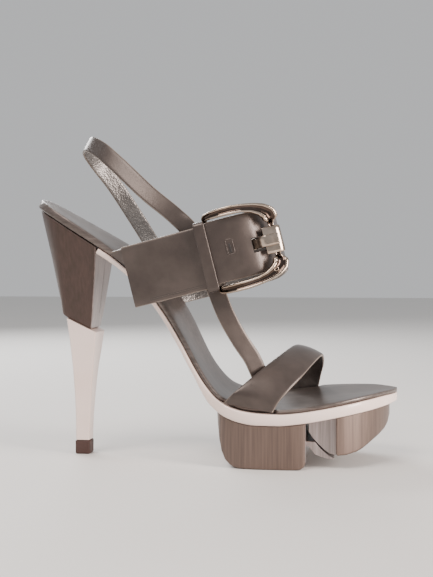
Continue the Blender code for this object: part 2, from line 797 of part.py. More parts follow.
# Saddle: a wide plate over the rest bar and round its front
SADDLE_HALF = 6.6
SADDLE_WALL = 1.3
SADDLE_PLAN = (
    (74.2, -39.3), (76.6, -38.8), (79.2, -37.75), (81.2, -36.95), (82.4, -35.7), (82.5, -34.2),
    (81.4, -33.0), (79.9, -32.7),
)
saddle = plan_strap(
    "buckle_saddle", SADDLE_PLAN, spread(20), SADDLE_HALF, SADDLE_WALL, METAL, 2, rise=buckle_level
)

# Prong: rolled round the hinge bar, up through the hole and over the saddle
PRONG_PLAN = (
    (47.8, -34.5), (46.4, -34.0), (44.7, -34.7), (44.0, -36.4), (44.7, -38.1), (46.4, -38.8), (50.0, -38.1),
    (54.0, -36.7), (60.0, -36.2), (65.0, -36.3), (68.0, -37.0), (70.6, -38.2), (73.2, -40.4), (74.4, -41.15),
    (76.8, -40.8), (79.2, -39.75), (81.6, -38.75),
)
prong = plan_strap(
    "buckle_prong", PRONG_PLAN, spread(36), PRONG_HALF - 0.35, PRONG_WALL, METAL, 2, rise=buckle_level
)

# Heel strap: middle line and outward normal, from under the toe strap to the inner side of the cuff
HEEL_STRAP = (
    # x, y, z, normal x, y, z
    (106.0, -29.2, 39.6, 0.25, -0.90, 0.40),
    (102.4, -26.2, 45.8, 0.25, -0.84, 0.45),
    (97.8, -28.0, 56.6, 0.25, -0.90, 0.30),
    (91.7, -30.0, 66.2, 0.22, -0.95, 0.20),
    (84.0, -32.6, 80.7, 0.16, -0.98, 0.12),
    (79.2, -31.9, 92.2, 0.05, -1.00, 0.02),
    (71.2, -31.9, 109.7, 0.0, -1.00, 0.0),
    (64.8, -32.4, 124.6, -0.02, -1.00, 0.06),
    (58.0, -32.8, 133.2, -0.08, -0.95, 0.28),
    (44.5, -31.4, 144.2, -0.18, -0.88, 0.42),
    (22.7, -21.6, 161.9, -0.38, -0.78, 0.48),
    (12.0, -13.4, 169.4, -0.56, -0.66, 0.50),
    (3.4, -4.6, 173.2, -0.82, -0.34, 0.46),
    (0.6, 4.0, 171.6, -0.90, 0.20, 0.38),
    (2.6, 12.4, 166.2, -0.78, 0.55, 0.26),
    (10.4, 21.0, 154.6, -0.55, 0.80, 0.18),
    (22.9, 27.2, 134.4, -0.30, 0.94, 0.10),
    (31.0, 27.2, 121.6, -0.24, 0.97, 0.03),
    (35.6, 26.4, 114.2, -0.34, 0.94, -0.04),
    (37.2, 25.8, 111.0, -0.38, 0.92, -0.07),
    (38.2, 25.2, 108.6, -0.40, 0.91, -0.08),
)
HEEL_STRAP_HALF = 4.3
HEEL_STRAP_WALL = 1.6
heel_line = path([row[:3] for row in HEEL_STRAP])
heel_facing = path([tuple(c * 40.0 for c in row[3:]) for row in HEEL_STRAP])


def facing(t):
    """The strap's outward normal, following the same points as its middle line."""
    knots = [0.0]
    for a, b in zip(HEEL_STRAP, HEEL_STRAP[1:]):
        knots.append(knots[-1] + (Vector(b[:3]) - Vector(a[:3])).length)
    s = t * knots[-1]
    i = 0
    while i < len(knots) - 2 and s > knots[i + 1]:
        i += 1
    u = clear((s - knots[i]) / (knots[i + 1] - knots[i]), 0.0, 1.0)
    u = u * u * (3.0 - 2.0 * u)
    return Vector(HEEL_STRAP[i][3:]).lerp(Vector(HEEL_STRAP[i + 1][3:]), u).normalized()


def heel_middle(t, h):
    step = 0.006
    along = heel_line(min(t + step, 1.0)) - heel_line(max(t - step, 0.0))
    across = facing(t).cross(along).normalized()
    return heel_line(t) - across * (h * HEEL_STRAP_HALF)


heel_strap = strap("heel_strap", heel_middle, spread(64), 2, HEEL_STRAP_WALL, TAUPE)

# Toe strap: its rear and front edges over the forefoot, the ends added where they stand on the midsole
TOE_REAR = (
    (88.2, -37.4, 38.6), (94.0, -35.4, 43.6), (103.0, -28.2, 51.0), (112.0, -15.0, 57.8), (118.0, -0.5, 61.4),
    (119.8, 13.0, 59.8), (117.6, 24.6, 53.2), (113.4, 32.4, 45.4),
)
TOE_FRONT = (
    (112.0, -36.9, 35.2), (116.4, -34.2, 40.2), (122.6, -27.6, 46.6), (128.6, -15.0, 53.2), (132.4, 0.0, 56.4),
    (133.2, 13.0, 54.6), (132.6, 24.2, 48.8), (131.0, 31.0, 43.0),
)


def toe_end(x, side):
    width = sole_in(x) if side > 0 else sole_out(x)
    y = side * (width - 0.15 - TOE_WALL / 2.0)
    at = sole_point(x, y, insole_t(x) + 0.3)
    return at.x, y, at.z + 0.75


toe_rear = path([toe_end(TOE_OUTER[0], -1), *TOE_REAR, toe_end(TOE_INNER[0], 1)])
toe_front = path([toe_end(TOE_OUTER[1], -1), *TOE_FRONT, toe_end(TOE_INNER[1], 1)])


def toe_middle(t, h):
    """Between the two edges, bowed a little across the strap."""
    share = 0.5 + 0.5 * h
    a, b = toe_rear(t), toe_front(t)
    at = a.lerp(b, share)
    bow = 0.9 * (1.0 - h * h) * math.sin(math.pi * t) ** 0.5 if 0.0 < t < 1.0 else 0.0
    return at + Vector((0.0, 0.3 * math.copysign(1.0, at.y) * bow, bow))


toe_strap = strap("toe_strap", toe_middle, spread(40), 5, TOE_WALL, TAUPE)
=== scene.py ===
# %% [markdown]
# # A platform sandal with a square heel and a buckled cuff
# The imported model gives every piece its true place and size, in metres, with the floor at z = 0, the toe
# along +X and the inner side of this right shoe along +Y. This lesson dresses it: finer meshes where the
# solids are coarse, a finish for each material, stitches, light and a camera.

import math

import bmesh
import bpy
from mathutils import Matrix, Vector


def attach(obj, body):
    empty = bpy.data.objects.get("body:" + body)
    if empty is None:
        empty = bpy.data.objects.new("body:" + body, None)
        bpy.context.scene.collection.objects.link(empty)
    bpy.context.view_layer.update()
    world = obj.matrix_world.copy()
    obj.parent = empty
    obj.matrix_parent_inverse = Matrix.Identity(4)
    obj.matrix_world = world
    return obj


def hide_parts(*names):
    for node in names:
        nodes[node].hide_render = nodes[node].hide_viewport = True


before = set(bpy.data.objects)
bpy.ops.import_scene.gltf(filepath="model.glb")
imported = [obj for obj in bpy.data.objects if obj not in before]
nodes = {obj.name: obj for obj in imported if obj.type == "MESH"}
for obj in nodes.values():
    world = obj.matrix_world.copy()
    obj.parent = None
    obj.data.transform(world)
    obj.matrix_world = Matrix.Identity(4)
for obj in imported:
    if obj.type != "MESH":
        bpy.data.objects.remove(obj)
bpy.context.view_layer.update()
MM = 0.001

# %% [markdown]
# ## Camera
# The photograph looks at the outer side from a little in front of it, at the height of the cuff, from about
# 0.6 m. A lens of 44 mm on a 24 mm high frame gives the same perspective: the platform stands a little
# lower in the picture than the heel tip, and the heel's front face just shows.

# %% Camera
def new_object(name, data):
    """An object with the given mesh, lamp or camera, linked into the scene."""
    made = bpy.data.objects.new(name, data)
    bpy.context.scene.collection.objects.link(made)
    return made


CAMERA_AT = Vector((157.1, -585.7, 105.4)) * MM
CAMERA_AZIMUTH = math.radians(8.0)
CAMERA_ELEVATION = math.radians(1.2)

camera_data = bpy.data.cameras.new("camera")
camera_data.sensor_width = 24.0
camera_data.lens = 44.42
camera_data.clip_start = 0.01
camera = new_object("camera", camera_data)
back = Vector((
    math.sin(CAMERA_AZIMUTH) * math.cos(CAMERA_ELEVATION),
    -math.cos(CAMERA_AZIMUTH) * math.cos(CAMERA_ELEVATION),
    math.sin(CAMERA_ELEVATION),
))
camera.location = CAMERA_AT
camera.rotation_mode = "QUATERNION"
camera.rotation_quaternion = back.to_track_quat("Z", "Y")
bpy.context.scene.camera = camera
print("camera looks along", [round(v, 3) for v in -back])

# %% [markdown]
# ## Colour and node helpers
# Colours are picked as the eye sees them, in sRGB hex, and Blender computes with linear light, so one
# function turns one into the other. A second adds a shader node with its settings and links in one line.
# Every patterned finish ends in the same way, so a last one leads its patterns into the shader.

# %% Helpers
def linear(hex_colour):
    """sRGB hex to linear RGBA."""
    values = [int(hex_colour[i:i + 2], 16) / 255.0 for i in (1, 3, 5)]
    return tuple(v / 12.92 if v <= 0.04045 else ((v + 0.055) / 1.055) ** 2.4 for v in values) + (1.0,)


def add(tree, kind, settings=None, inputs=None, links=None, stops=None):
    """A node with its settings, input values, incoming links and, where it has a ramp, its colour stops."""
    node = tree.nodes.new(kind)
    for key, value in (settings or {}).items():
        setattr(node, key, value)
    for key, value in (inputs or {}).items():
        node.inputs[key].default_value = value
    for key, source in (links or {}).items():
        tree.links.new(source, node.inputs[key])
    if stops:
        while len(node.color_ramp.elements) < len(stops):
            node.color_ramp.elements.new(0.5)
        for element, (position, colour) in zip(node.color_ramp.elements, stops):
            element.position = position
            element.color = linear(colour)
    return node


def finish(name, constants):
    """A material with a Principled shader whose constant values are set on its own sockets."""
    made = bpy.data.materials.new(name)
    made.use_nodes = True
    tree = made.node_tree
    shader = tree.nodes["Principled BSDF"]
    for key, value in constants.items():
        shader.inputs[key].default_value = value
    made.diffuse_color = constants.get("Base Color", (0.5, 0.5, 0.5, 1.0))
    return made, tree, shader


def vary(tree, shader, tint, stops, height, relief_mm, strength, rough=None):
    """Leads patterns into a shader: tint as a colour, height as fine relief, rough as (pattern, from, to)."""
    colour = add(tree, "ShaderNodeValToRGB", links={"Fac": tint}, stops=stops)
    tree.links.new(colour.outputs["Color"], shader.inputs["Base Color"])
    bump = add(tree, "ShaderNodeBump", inputs={"Distance": relief_mm * MM, "Strength": strength},
               links={"Height": height})
    tree.links.new(bump.outputs["Normal"], shader.inputs["Normal"])
    if rough:
        span = add(tree, "ShaderNodeMapRange", inputs={"To Min": rough[1], "To Max": rough[2]},
                   links={"Value": rough[0]})
        tree.links.new(span.outputs["Result"], shader.inputs["Roughness"])


# %% [markdown]
# ## Leather for the straps
# The straps are chrome-tanned calf with a pearlised topcoat: fine pores, a faint cloudiness in the dye, and
# a soft metallic glow where the surface turns to the light. A Voronoi texture gives the pores as bump, a
# slow Noise texture the cloudiness, and some metallic in the shader the pearl. The pores are drawn 0.5 mm
# apart, coarser than on real calf, because finer ones don't show. The lining is silver kid with a coarse
# crinkle that glints. The cut edges are painted a little paler than the strap: edge paint with a painted
# highlight along the edges. The seams' thread is dark, and the same dark finish is laid as painted shade in
# the creases, on the walls of the punched holes and on the floor of the buckle's eyelet.

# %% Strap leather
def leather(name, dark, light, metallic, roughness, grain_mm, bump_mm, sheen):
    made, tree, shader = finish(name, {
        "Metallic": metallic,
        "IOR": 1.5,
        "Coat Weight": 0.12,
        "Coat Roughness": 0.28,
        "Sheen Weight": sheen,
        "Sheen Roughness": 0.5,
        "Base Color": linear(light),
    })
    place = add(tree, "ShaderNodeTexCoord").outputs["Object"]
    cloud = add(tree, "ShaderNodeTexNoise", inputs={"Scale": 60.0, "Detail": 3.0, "Roughness": 0.6},
                links={"Vector": place})
    pores = add(tree, "ShaderNodeTexVoronoi", {"feature": "SMOOTH_F1"},
                {"Scale": 1.0 / (grain_mm * MM), "Smoothness": 0.6}, {"Vector": place})
    wrinkle = add(tree, "ShaderNodeTexNoise", inputs={"Scale": 0.35 / (grain_mm * MM), "Detail": 4.0},
                  links={"Vector": place})
    both = add(tree, "ShaderNodeMath", {"operation": "ADD"},
               links={0: pores.outputs["Distance"], 1: wrinkle.outputs["Fac"]})
    vary(tree, shader, cloud.outputs["Fac"], ((0.32, dark), (0.68, light)), both.outputs[0], bump_mm, 0.5,
         (cloud.outputs["Fac"], roughness - 0.05, roughness + 0.07))
    return made


STRAP = leather("pearlised_calf", "#463D39", "#564C47", 0.5, 0.34, 0.5, 0.05, 0.05)
LINING = leather("silver_kid_lining", "#5D5957", "#8A8683", 0.8, 0.34, 0.8, 0.40, 0.0)
# The edge finish is paler than the strap: edge paint with a painted highlight along the cut edges.
EDGE_PAINT_AND_HIGHLIGHT = leather("strap_edge_paint_and_highlight", "#6E625A", "#85786E", 0.2, 0.45, 0.4, 0.04, 0.0)
# Dark thread for the heel's seam; the same dark finish is painted shade in creases, holes and the eyelet.
DARK_THREAD_AND_SHADE = leather("dark_thread_and_painted_shade", "#1C1614", "#2A221F", 0.0, 0.6, 0.3, 0.04, 0.1)
print("leathers", [m.name for m in (STRAP, LINING, EDGE_PAINT_AND_HIGHLIGHT, DARK_THREAD_AND_SHADE)])

# %% [markdown]
# ## Brushed cover of the heel and platform
# The blocks are covered in brown leather brushed from top to bottom, which leaves fine upright streaks.
# Noise that is stretched along Z makes them: narrow across, long upwards. The footbed is brushed along the
# foot instead, so its noise is stretched along X, and it shines more, which gives the long satin lights
# under the toes.

# %% Brushed cover
# Repeats in a metre along x, y and z: streaks 1.1 mm wide and about 40 mm long, in bands 6 to 7 mm wide.
UPRIGHT = {"fine": (900.0, 900.0, 26.0), "broad": (150.0, 150.0, 9.0)}
ALONG = {"fine": (22.0, 900.0, 900.0), "broad": (8.0, 160.0, 160.0)}


def brushed(name, dark, middle, light, metallic, roughness, fine, broad):
    made, tree, shader = finish(name, {
        "Metallic": metallic,
        "IOR": 1.5,
        "Coat Weight": 0.25,
        "Coat Roughness": 0.2,
        "Base Color": linear(middle),
    })
    place = add(tree, "ShaderNodeTexCoord").outputs["Object"]
    long_z = add(tree, "ShaderNodeMapping", inputs={"Scale": fine}, links={"Vector": place})
    streak = add(tree, "ShaderNodeTexNoise", inputs={"Scale": 1.0, "Detail": 4.0, "Roughness": 0.55},
                 links={"Vector": long_z.outputs["Vector"]})
    wide_z = add(tree, "ShaderNodeMapping", inputs={"Scale": broad}, links={"Vector": place})
    band = add(tree, "ShaderNodeTexNoise", inputs={"Scale": 1.0, "Detail": 2.0},
               links={"Vector": wide_z.outputs["Vector"]})
    both = add(tree, "ShaderNodeMix", {"data_type": "FLOAT"}, {"Factor": 0.3},
               {"A": streak.outputs["Fac"], "B": band.outputs["Fac"]})
    vary(tree, shader, both.outputs[0], ((0.36, dark), (0.5, middle), (0.66, light)),
         streak.outputs["Fac"], 0.03, 0.4, (streak.outputs["Fac"], roughness - 0.06, roughness + 0.1))
    return made


COVER = brushed("brushed_brown_cover", "#5C4C45", "#67564D", "#725F56", 0.45, 0.34, **UPRIGHT)
HEEL_COVER = brushed("brushed_dark_cover", "#38291F", "#402E27", "#49352D", 0.35, 0.32, **UPRIGHT)
BREAST = brushed("brushed_grey_cover", "#7F7572", "#958A87", "#ABA09D", 0.5, 0.36, **UPRIGHT)
FOOTBED = brushed("satin_footbed_leather", "#514945", "#635954", "#776C67", 0.55, 0.34, **ALONG)

# %% [markdown]
# ## Pale patent layer, top lift and buckle metal
# The midsole and the heel's lower half are patent leather: a pale pink-white ground under a clear gloss
# coat. The top lift is moulded rubber, a dull dark brown with specks of 0.7 mm. The buckle is cast zinc,
# polished and plated a warm pale grey, with waves about 4 mm long in its surface that bend the lights.

# %% Patent, rubber and plating
def patent(name, ground, tint):
    made, tree, shader = finish(name, {
        "IOR": 1.5,
        "Coat Weight": 0.7,
        "Coat Roughness": 0.06,
        "Roughness": 0.35,
        "Base Color": linear(ground),
    })
    place = add(tree, "ShaderNodeTexCoord").outputs["Object"]
    cloud = add(tree, "ShaderNodeTexNoise", inputs={"Scale": 35.0, "Detail": 2.0}, links={"Vector": place})
    ripple = add(tree, "ShaderNodeTexNoise", inputs={"Scale": 420.0, "Detail": 2.0}, links={"Vector": place})
    vary(tree, shader, cloud.outputs["Fac"], ((0.3, tint), (0.7, ground)), ripple.outputs["Fac"], 0.03, 0.3)
    return made


def rubber(name, ground, light):
    made, tree, shader = finish(name, {"IOR": 1.52, "Base Color": linear(ground)})
    place = add(tree, "ShaderNodeTexCoord").outputs["Object"]
    speck = add(tree, "ShaderNodeTexNoise", inputs={"Scale": 1500.0, "Detail": 3.0},
                links={"Vector": place}).outputs["Fac"]
    vary(tree, shader, speck, ((0.35, ground), (0.7, light)), speck, 0.04, 0.4, (speck, 0.5, 0.7))
    return made


def plating(name, ground, warm):
    made, tree, shader = finish(name, {"Metallic": 1.0, "Base Color": linear(ground)})
    place = add(tree, "ShaderNodeTexCoord").outputs["Object"]
    drift = add(tree, "ShaderNodeTexNoise", inputs={"Scale": 110.0, "Detail": 3.0}, links={"Vector": place})
    wave = add(tree, "ShaderNodeTexNoise", inputs={"Scale": 260.0, "Detail": 1.0}, links={"Vector": place})
    vary(tree, shader, drift.outputs["Fac"], ((0.3, warm), (0.7, ground)), wave.outputs["Fac"], 0.03, 0.25,
         (drift.outputs["Fac"], 0.1, 0.2))
    return made


PATENT = patent("pale_patent_leather", "#FBE6DC", "#F2DACF")
LIFT = rubber("moulded_lift_rubber", "#3A241E", "#4C322B")
PLATING = plating("polished_pale_gunmetal", "#C4B4A6", "#A08D7C")
# The darker metal is painted shade, for the channel between the frame's rims.
CHANNEL_PAINTED_SHADE = plating("shaded_gunmetal_channel", "#5C4F49", "#41362F")

# %% [markdown]
# ## Lines in millimetres
# The soft pieces repeat the model's own numbers, so that they lie where the solids are, but with many more
# rows. Only the heel strap departs from them: between the cuff and the loop it is drawn up to 2 mm lower,
# as the photograph shows it. Two kinds of line are enough: one through a table's column that never
# overshoots, for the sole, and one through points in space, for the straps. Sizes are typed in millimetres
# and turned to metres in the mesh.

# %% Lines
def clear(value, low, high):
    return max(low, min(high, value))


def ease(x):
    x = clear(x, 0.0, 1.0)
    return x * x * (3.0 - 2.0 * x)


def hermite(a, b, slope_a, slope_b, h, u):
    """A cubic between two values or vectors with given slopes."""
    first = a * ((1.0 + 2.0 * u) * (1.0 - u) ** 2) + slope_a * (h * u * (1.0 - u) ** 2)
    return first + b * (u * u * (3.0 - 2.0 * u)) + slope_b * (h * u * u * (u - 1.0))


def column_line(rows, column):
    """A monotone cubic through one column of a table, by its first column."""
    xs = [row[0] for row in rows]
    ys = [row[column] for row in rows]
    steps = [(ys[i + 1] - ys[i]) / (xs[i + 1] - xs[i]) for i in range(len(xs) - 1)]
    slopes = [steps[0]]
    for i in range(1, len(xs) - 1):
        a, b = steps[i - 1], steps[i]
        w1 = 2.0 * (xs[i + 1] - xs[i]) + (xs[i] - xs[i - 1])
        w2 = (xs[i + 1] - xs[i]) + 2.0 * (xs[i] - xs[i - 1])
        slopes.append(0.0 if a * b <= 0.0 else (w1 + w2) / (w1 / a + w2 / b))
    slopes.append(steps[-1])

    def value(x):
        x = clear(x, xs[0], xs[-1])
        i = 0
        while i < len(xs) - 2 and x > xs[i + 1]:
            i += 1
        h = xs[i + 1] - xs[i]
        return hermite(ys[i], ys[i + 1], slopes[i], slopes[i + 1], h, (x - xs[i]) / h)

    return value


def space_line(points):
    """A smooth path through points: t runs from 0 to 1 along its length."""
    pts = [Vector(p) for p in points]
    knots = [0.0]
    for a, b in zip(pts, pts[1:]):
        knots.append(knots[-1] + max((b - a).length, 1e-9))

    def slope(k):
        if k == 0:
            return (pts[1] - pts[0]) / (knots[1] - knots[0])
        if k == len(pts) - 1:
            return (pts[-1] - pts[-2]) / (knots[-1] - knots[-2])
        before = (pts[k] - pts[k - 1]) / (knots[k] - knots[k - 1])
        after = (pts[k + 1] - pts[k]) / (knots[k + 1] - knots[k])
        share = (knots[k] - knots[k - 1]) / (knots[k + 1] - knots[k - 1])
        return before * (1.0 - share) + after * share

    slopes = [slope(k) for k in range(len(pts))]

    def find(t):
        """The stretch between two points that t falls in, and the share along it."""
        s = clear(t, 0.0, 1.0) * knots[-1]
        i = 0
        while i < len(pts) - 2 and s > knots[i + 1]:
            i += 1
        return i, (s - knots[i]) / (knots[i + 1] - knots[i])

    def value(t):
        i, u = find(t)
        return hermite(pts[i], pts[i + 1], slopes[i], slopes[i + 1], knots[i + 1] - knots[i], u)

    value.find = find
    return value


def spread(count, low=0.0, high=1.0):
    return [low + (high - low) * i / (count - 1) for i in range(count)]


# %% [markdown]
# ## Sole tables
# The footbed's middle line falls steeply from the seat to the ball. Its outline and the thickness of the
# two layers along it are the same as in the model.

# %% Sole tables
SOLE = (
    # x, z, outer, inner, lift
    (-22.6, 142.6, 6.0, 6.0, 0.0),
    (-21.8, 142.1, 10.0, 10.0, 0.0),
    (-19.5, 140.7, 14.5, 14.5, 0.0),
    (-15.0, 138.0, 18.8, 19.0, 0.0),
    (-8.0, 133.8, 22.0, 22.4, 0.2),
    (0.0, 129.0, 23.6, 24.0, 0.6),
    (10.0, 123.0, 23.9, 24.4, 1.4),
    (20.0, 116.6, 23.4, 24.0, 2.6),
    (30.0, 109.1, 22.4, 23.2, 3.4),
    (38.0, 101.7, 21.7, 22.6, 3.8),
    (46.0, 92.0, 21.3, 22.4, 3.9),
    (53.0, 81.9, 21.5, 22.6, 3.4),
    (58.0, 73.4, 22.4, 23.2, 2.6),
    (63.0, 63.9, 24.2, 24.8, 1.2),
    (68.0, 54.3, 26.8, 27.0, 0.1),
    (72.0, 47.9, 29.2, 29.0, -0.3),
    (76.0, 42.7, 31.4, 31.0, -0.4),
    (80.0, 38.7, 33.4, 32.6, -0.1),
    (84.0, 36.2, 35.2, 34.2, 0.6),
    (88.0, 34.5, 36.6, 35.3, 1.2),
    (94.0, 33.3, 38.0, 36.6, 2.0),
    (101.0, 32.8, 38.8, 37.4, 2.6),
    (111.0, 32.7, 39.0, 37.9, 3.0),
    (121.0, 33.5, 38.5, 37.6, 3.2),
    (131.0, 34.9, 37.1, 36.6, 3.1),
    (141.0, 36.2, 34.2, 34.6, 2.4),
    (150.0, 37.3, 29.6, 31.6, 1.5),
    (158.0, 38.2, 23.0, 27.4, 0.8),
    (164.0, 38.7, 15.8, 23.0, 0.3),
    (168.0, 38.8, 9.2, 19.2, 0.0),
    (171.0, 38.8, 2.8, 15.6, 0.0),
    (173.0, 38.8, -3.2, 12.2, 0.0),
    (173.8, 38.8, -6.0, 10.4, 0.0),
)
LAYERS = (
    (-23.0, 4.2, 2.8),
    (10.0, 3.8, 2.8),
    (30.0, 2.8, 2.6),
    (50.0, 2.6, 2.1),
    (62.0, 2.5, 2.2),
    (70.0, 2.4, 2.3),
    (76.0, 2.3, 3.6),
    (80.0, 2.2, 4.6),
    (85.0, 2.0, 5.8),
    (92.0, 2.0, 6.8),
    (100.0, 2.0, 7.4),
    (128.0, 2.0, 7.2),
    (142.0, 2.0, 6.7),
    (158.0, 2.0, 6.0),
    (168.0, 2.0, 5.2),
    (174.0, 2.0, 4.2),
)
MIDSOLE_START = 16.4
TOE_OUTER = (85.0, 109.0)
TOE_INNER = (107.0, 129.0)
NOTCH, NOTCH_LEAD, NOTCH_EASE = 3.6, 3.4, 2.5  # depth, start before a strap's end, length of its ease
EDGE_INSET = 0.35  # of the footbed's edge, where it has no notch
GAP = 0.3  # air between neighbouring pieces
sole_z, sole_out, sole_in, sole_lift = (column_line(SOLE, k) for k in (1, 2, 3, 4))
insole_t, midsole_t = (column_line(LAYERS, k) for k in (1, 2))


def sole_normal(x):
    low = clear(x - 0.4, SOLE[0][0], SOLE[-1][0])
    high = clear(x + 0.4, SOLE[0][0], SOLE[-1][0])
    slope = (sole_z(high) - sole_z(low)) / (high - low)
    length = math.hypot(1.0, slope)
    return -slope / length, 1.0 / length


def sole_point(x, y, depth, lifted=True):
    """The place at y across the sole and a given depth under its line, at station x."""
    nx, nz = sole_normal(x)
    share = (y + sole_out(x)) / (sole_out(x) + sole_in(x)) - 0.5
    up = (sole_lift(x) * share if lifted else 0.0) - depth
    return Vector((x + nx * up, y, sole_z(x) + nz * up))


def stations(start, end, count):
    """Places along x, closer together near both ends."""
    made = []
    for t in spread(count):
        eased = 0.5 - 0.5 * math.cos(math.pi * t)
        made.append(start + (end - start) * (0.55 * t + 0.45 * eased))
    return made


def notch(x, ends):
    rise = clear((x - ends[0] + NOTCH_LEAD) / NOTCH_EASE, 0.0, 1.0)
    fall = clear((ends[1] + NOTCH_LEAD - x) / NOTCH_EASE, 0.0, 1.0)
    return EDGE_INSET + (NOTCH - EDGE_INSET) * ease(min(rise, fall))


# %% [markdown]
# ## Skins from rings
# A strap, a sole layer or a buckle bar is one ring of points carried along a line. One function joins the
# rings, gives each strip round the ring its finish, closes the ends or joins the last ring to the first,
# and turns the faces outwards.

# %% Skins from rings
def skin(name, rings, finishes, strip_finish=None, hoop=False):
    """Rings of points in mm joined into one closed mesh. strip_finish numbers the finish of each strip."""
    count, total = len(rings[0]), len(rings)
    shape = bmesh.new()
    points = [[shape.verts.new(Vector(p) * MM) for p in ring] for ring in rings]
    for r in range(total if hoop else total - 1):
        here, there = points[r], points[(r + 1) % total]
        for i in range(count):
            j = (i + 1) % count
            face = shape.faces.new((here[i], here[j], there[j], there[i]))
            face.smooth = True
            face.material_index = strip_finish[i] if strip_finish else 0
    if not hoop:
        for ring in (points[0], points[-1]):
            middle = shape.verts.new(sum((v.co for v in ring), Vector()) / count)
            for i in range(count):
                face = shape.faces.new((ring[i], ring[(i + 1) % count], middle))
                face.smooth = True
                face.material_index = len(finishes) - 1 if strip_finish else 0
    bmesh.ops.recalc_face_normals(shape, faces=shape.faces)
    if shape.calc_volume(signed=True) < 0.0:
        bmesh.ops.reverse_faces(shape, faces=shape.faces)
    mesh = bpy.data.meshes.new(name)
    shape.to_mesh(mesh)
    shape.free()
    for finish_name in finishes:
        mesh.materials.append(finish_name)
    return new_object(name, mesh)


def stand_for(made, *named):
    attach(made, "root")
    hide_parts(*named)
    print(made.name, len(made.data.polygons), "faces")


# %% [markdown]
# ## Footbed and midsole
# The footbed is a board covered in taupe leather, turned over its edge, with a shallow dish for the heel
# and ball. The pale layer follows it from the heel's front face down the shank, and is thick under the
# forefoot.

# %% Footbed and midsole
EDGE_TURNS = (0.3, 0.6, 0.85)  # steps round a layer's soft upper edge, as shares of a quarter turn
LEVEL_FROM = 78.0  # from here forward the midsole's underside is level across, for the blocks
MIDSOLE_AIR = 0.42  # between the footbed and the midsole


def sole_layer(name, start, top_at, thick_at, insets_at, soft_mm, dish_mm, rows, finish_name,
               level_from=None):
    """A closed layer under the sole's line, with soft upper edges and a dish of a given depth."""
    rings = []
    for x in stations(start, SOLE[-1][0], rows):
        inset_out, inset_in = insets_at(x)
        out, inner = -sole_out(x) + inset_out, sole_in(x) - inset_in
        top = top_at(x)
        bottom = top + thick_at(x)
        soft = min(soft_mm, 0.3 * (inner - out), 0.45 * (bottom - top))
        dish = dish_mm * clear(min(x - SOLE[0][0], SOLE[-1][0] - x) / 12.0, 0.0, 1.0)
        lifted = level_from is None or x <= level_from

        def edge(y, side, turn):
            a = 0.5 * math.pi * turn
            return sole_point(x, y + side * soft * (math.sin(a) - 1.0), top + soft * (1.0 - math.cos(a)))

        ring = []
        for share in spread(15):
            y = out + soft + (inner - out - 2.0 * soft) * share
            ring.append(sole_point(x, y, top + dish * math.sin(math.pi * share) ** 2))
        ring += [edge(inner, 1, turn) for turn in EDGE_TURNS]
        ring.append(sole_point(x, inner, top + soft))
        for y, depth in ((inner, bottom - soft), (inner - soft, bottom), (0.5 * (out + inner), bottom),
                         (out + soft, bottom), (out, bottom - soft)):
            ring.append(sole_point(x, y, depth, lifted))
        ring.append(sole_point(x, out, top + soft))
        ring += [edge(out, -1, turn) for turn in reversed(EDGE_TURNS)]
        rings.append(ring)
    return skin(name, rings, [finish_name])


footbed = sole_layer(
    "shown_insole", SOLE[0][0], lambda x: 0.0, insole_t,
    lambda x: (notch(x, TOE_OUTER), notch(x, TOE_INNER)), 0.7, 0.8, 150, FOOTBED,
)
stand_for(footbed, "insole")
midsole = sole_layer(
    "shown_midsole", MIDSOLE_START, lambda x: insole_t(x) + MIDSOLE_AIR, midsole_t,
    lambda x: (0.0, 0.0), 0.6, 0.0, 130, PATENT, LEVEL_FROM,
)
stand_for(midsole, "midsole")

# %% [markdown]
# ## Directions of the cuff
# The straps round the instep lie on one leaning cylinder. In its plan p runs forward along the strap and q
# sideways, and h runs up its width, so a strap is a line in the plan and a half width.

# %% Directions of the cuff
CUFF_X, CUFF_Z = 33.5, 99.4
CUFF_LEAN = math.radians(14.2)
CUFF_HALF = 15.9
CUFF_WALL = 1.8
INNER_DROP = -3.2
FREE_RISE = 1.2
END_DEPTH = 3.2  # where a strap's end meets the sole's edge, under the footbed's line
END_AIR = 0.4  # between that edge and the strap


def cuff(p, q, h):
    """A place in the cuff's own directions, as x, y and z."""
    c, s = math.cos(CUFF_LEAN), math.sin(CUFF_LEAN)
    return Vector((CUFF_X + p * c - h * s, q, CUFF_Z + p * s + h * c))


def cuff_rise(p, q):
    free = ease((p - 42.0) / 7.0) * ease((-q - 12.0) / 20.0)
    return INNER_DROP * ease(q / 24.0) + FREE_RISE * free


# %% [markdown]
# ## Straps
# A strap is two skins of calf and kid glued back to back, cut through and painted along the cut. Its ring
# therefore has four kinds of strip: outer leather, painted edge, lining, painted edge. The edge's finish is
# paler than the strap, a painted highlight. The edge is rounded, because the two skins are pressed together
# there.

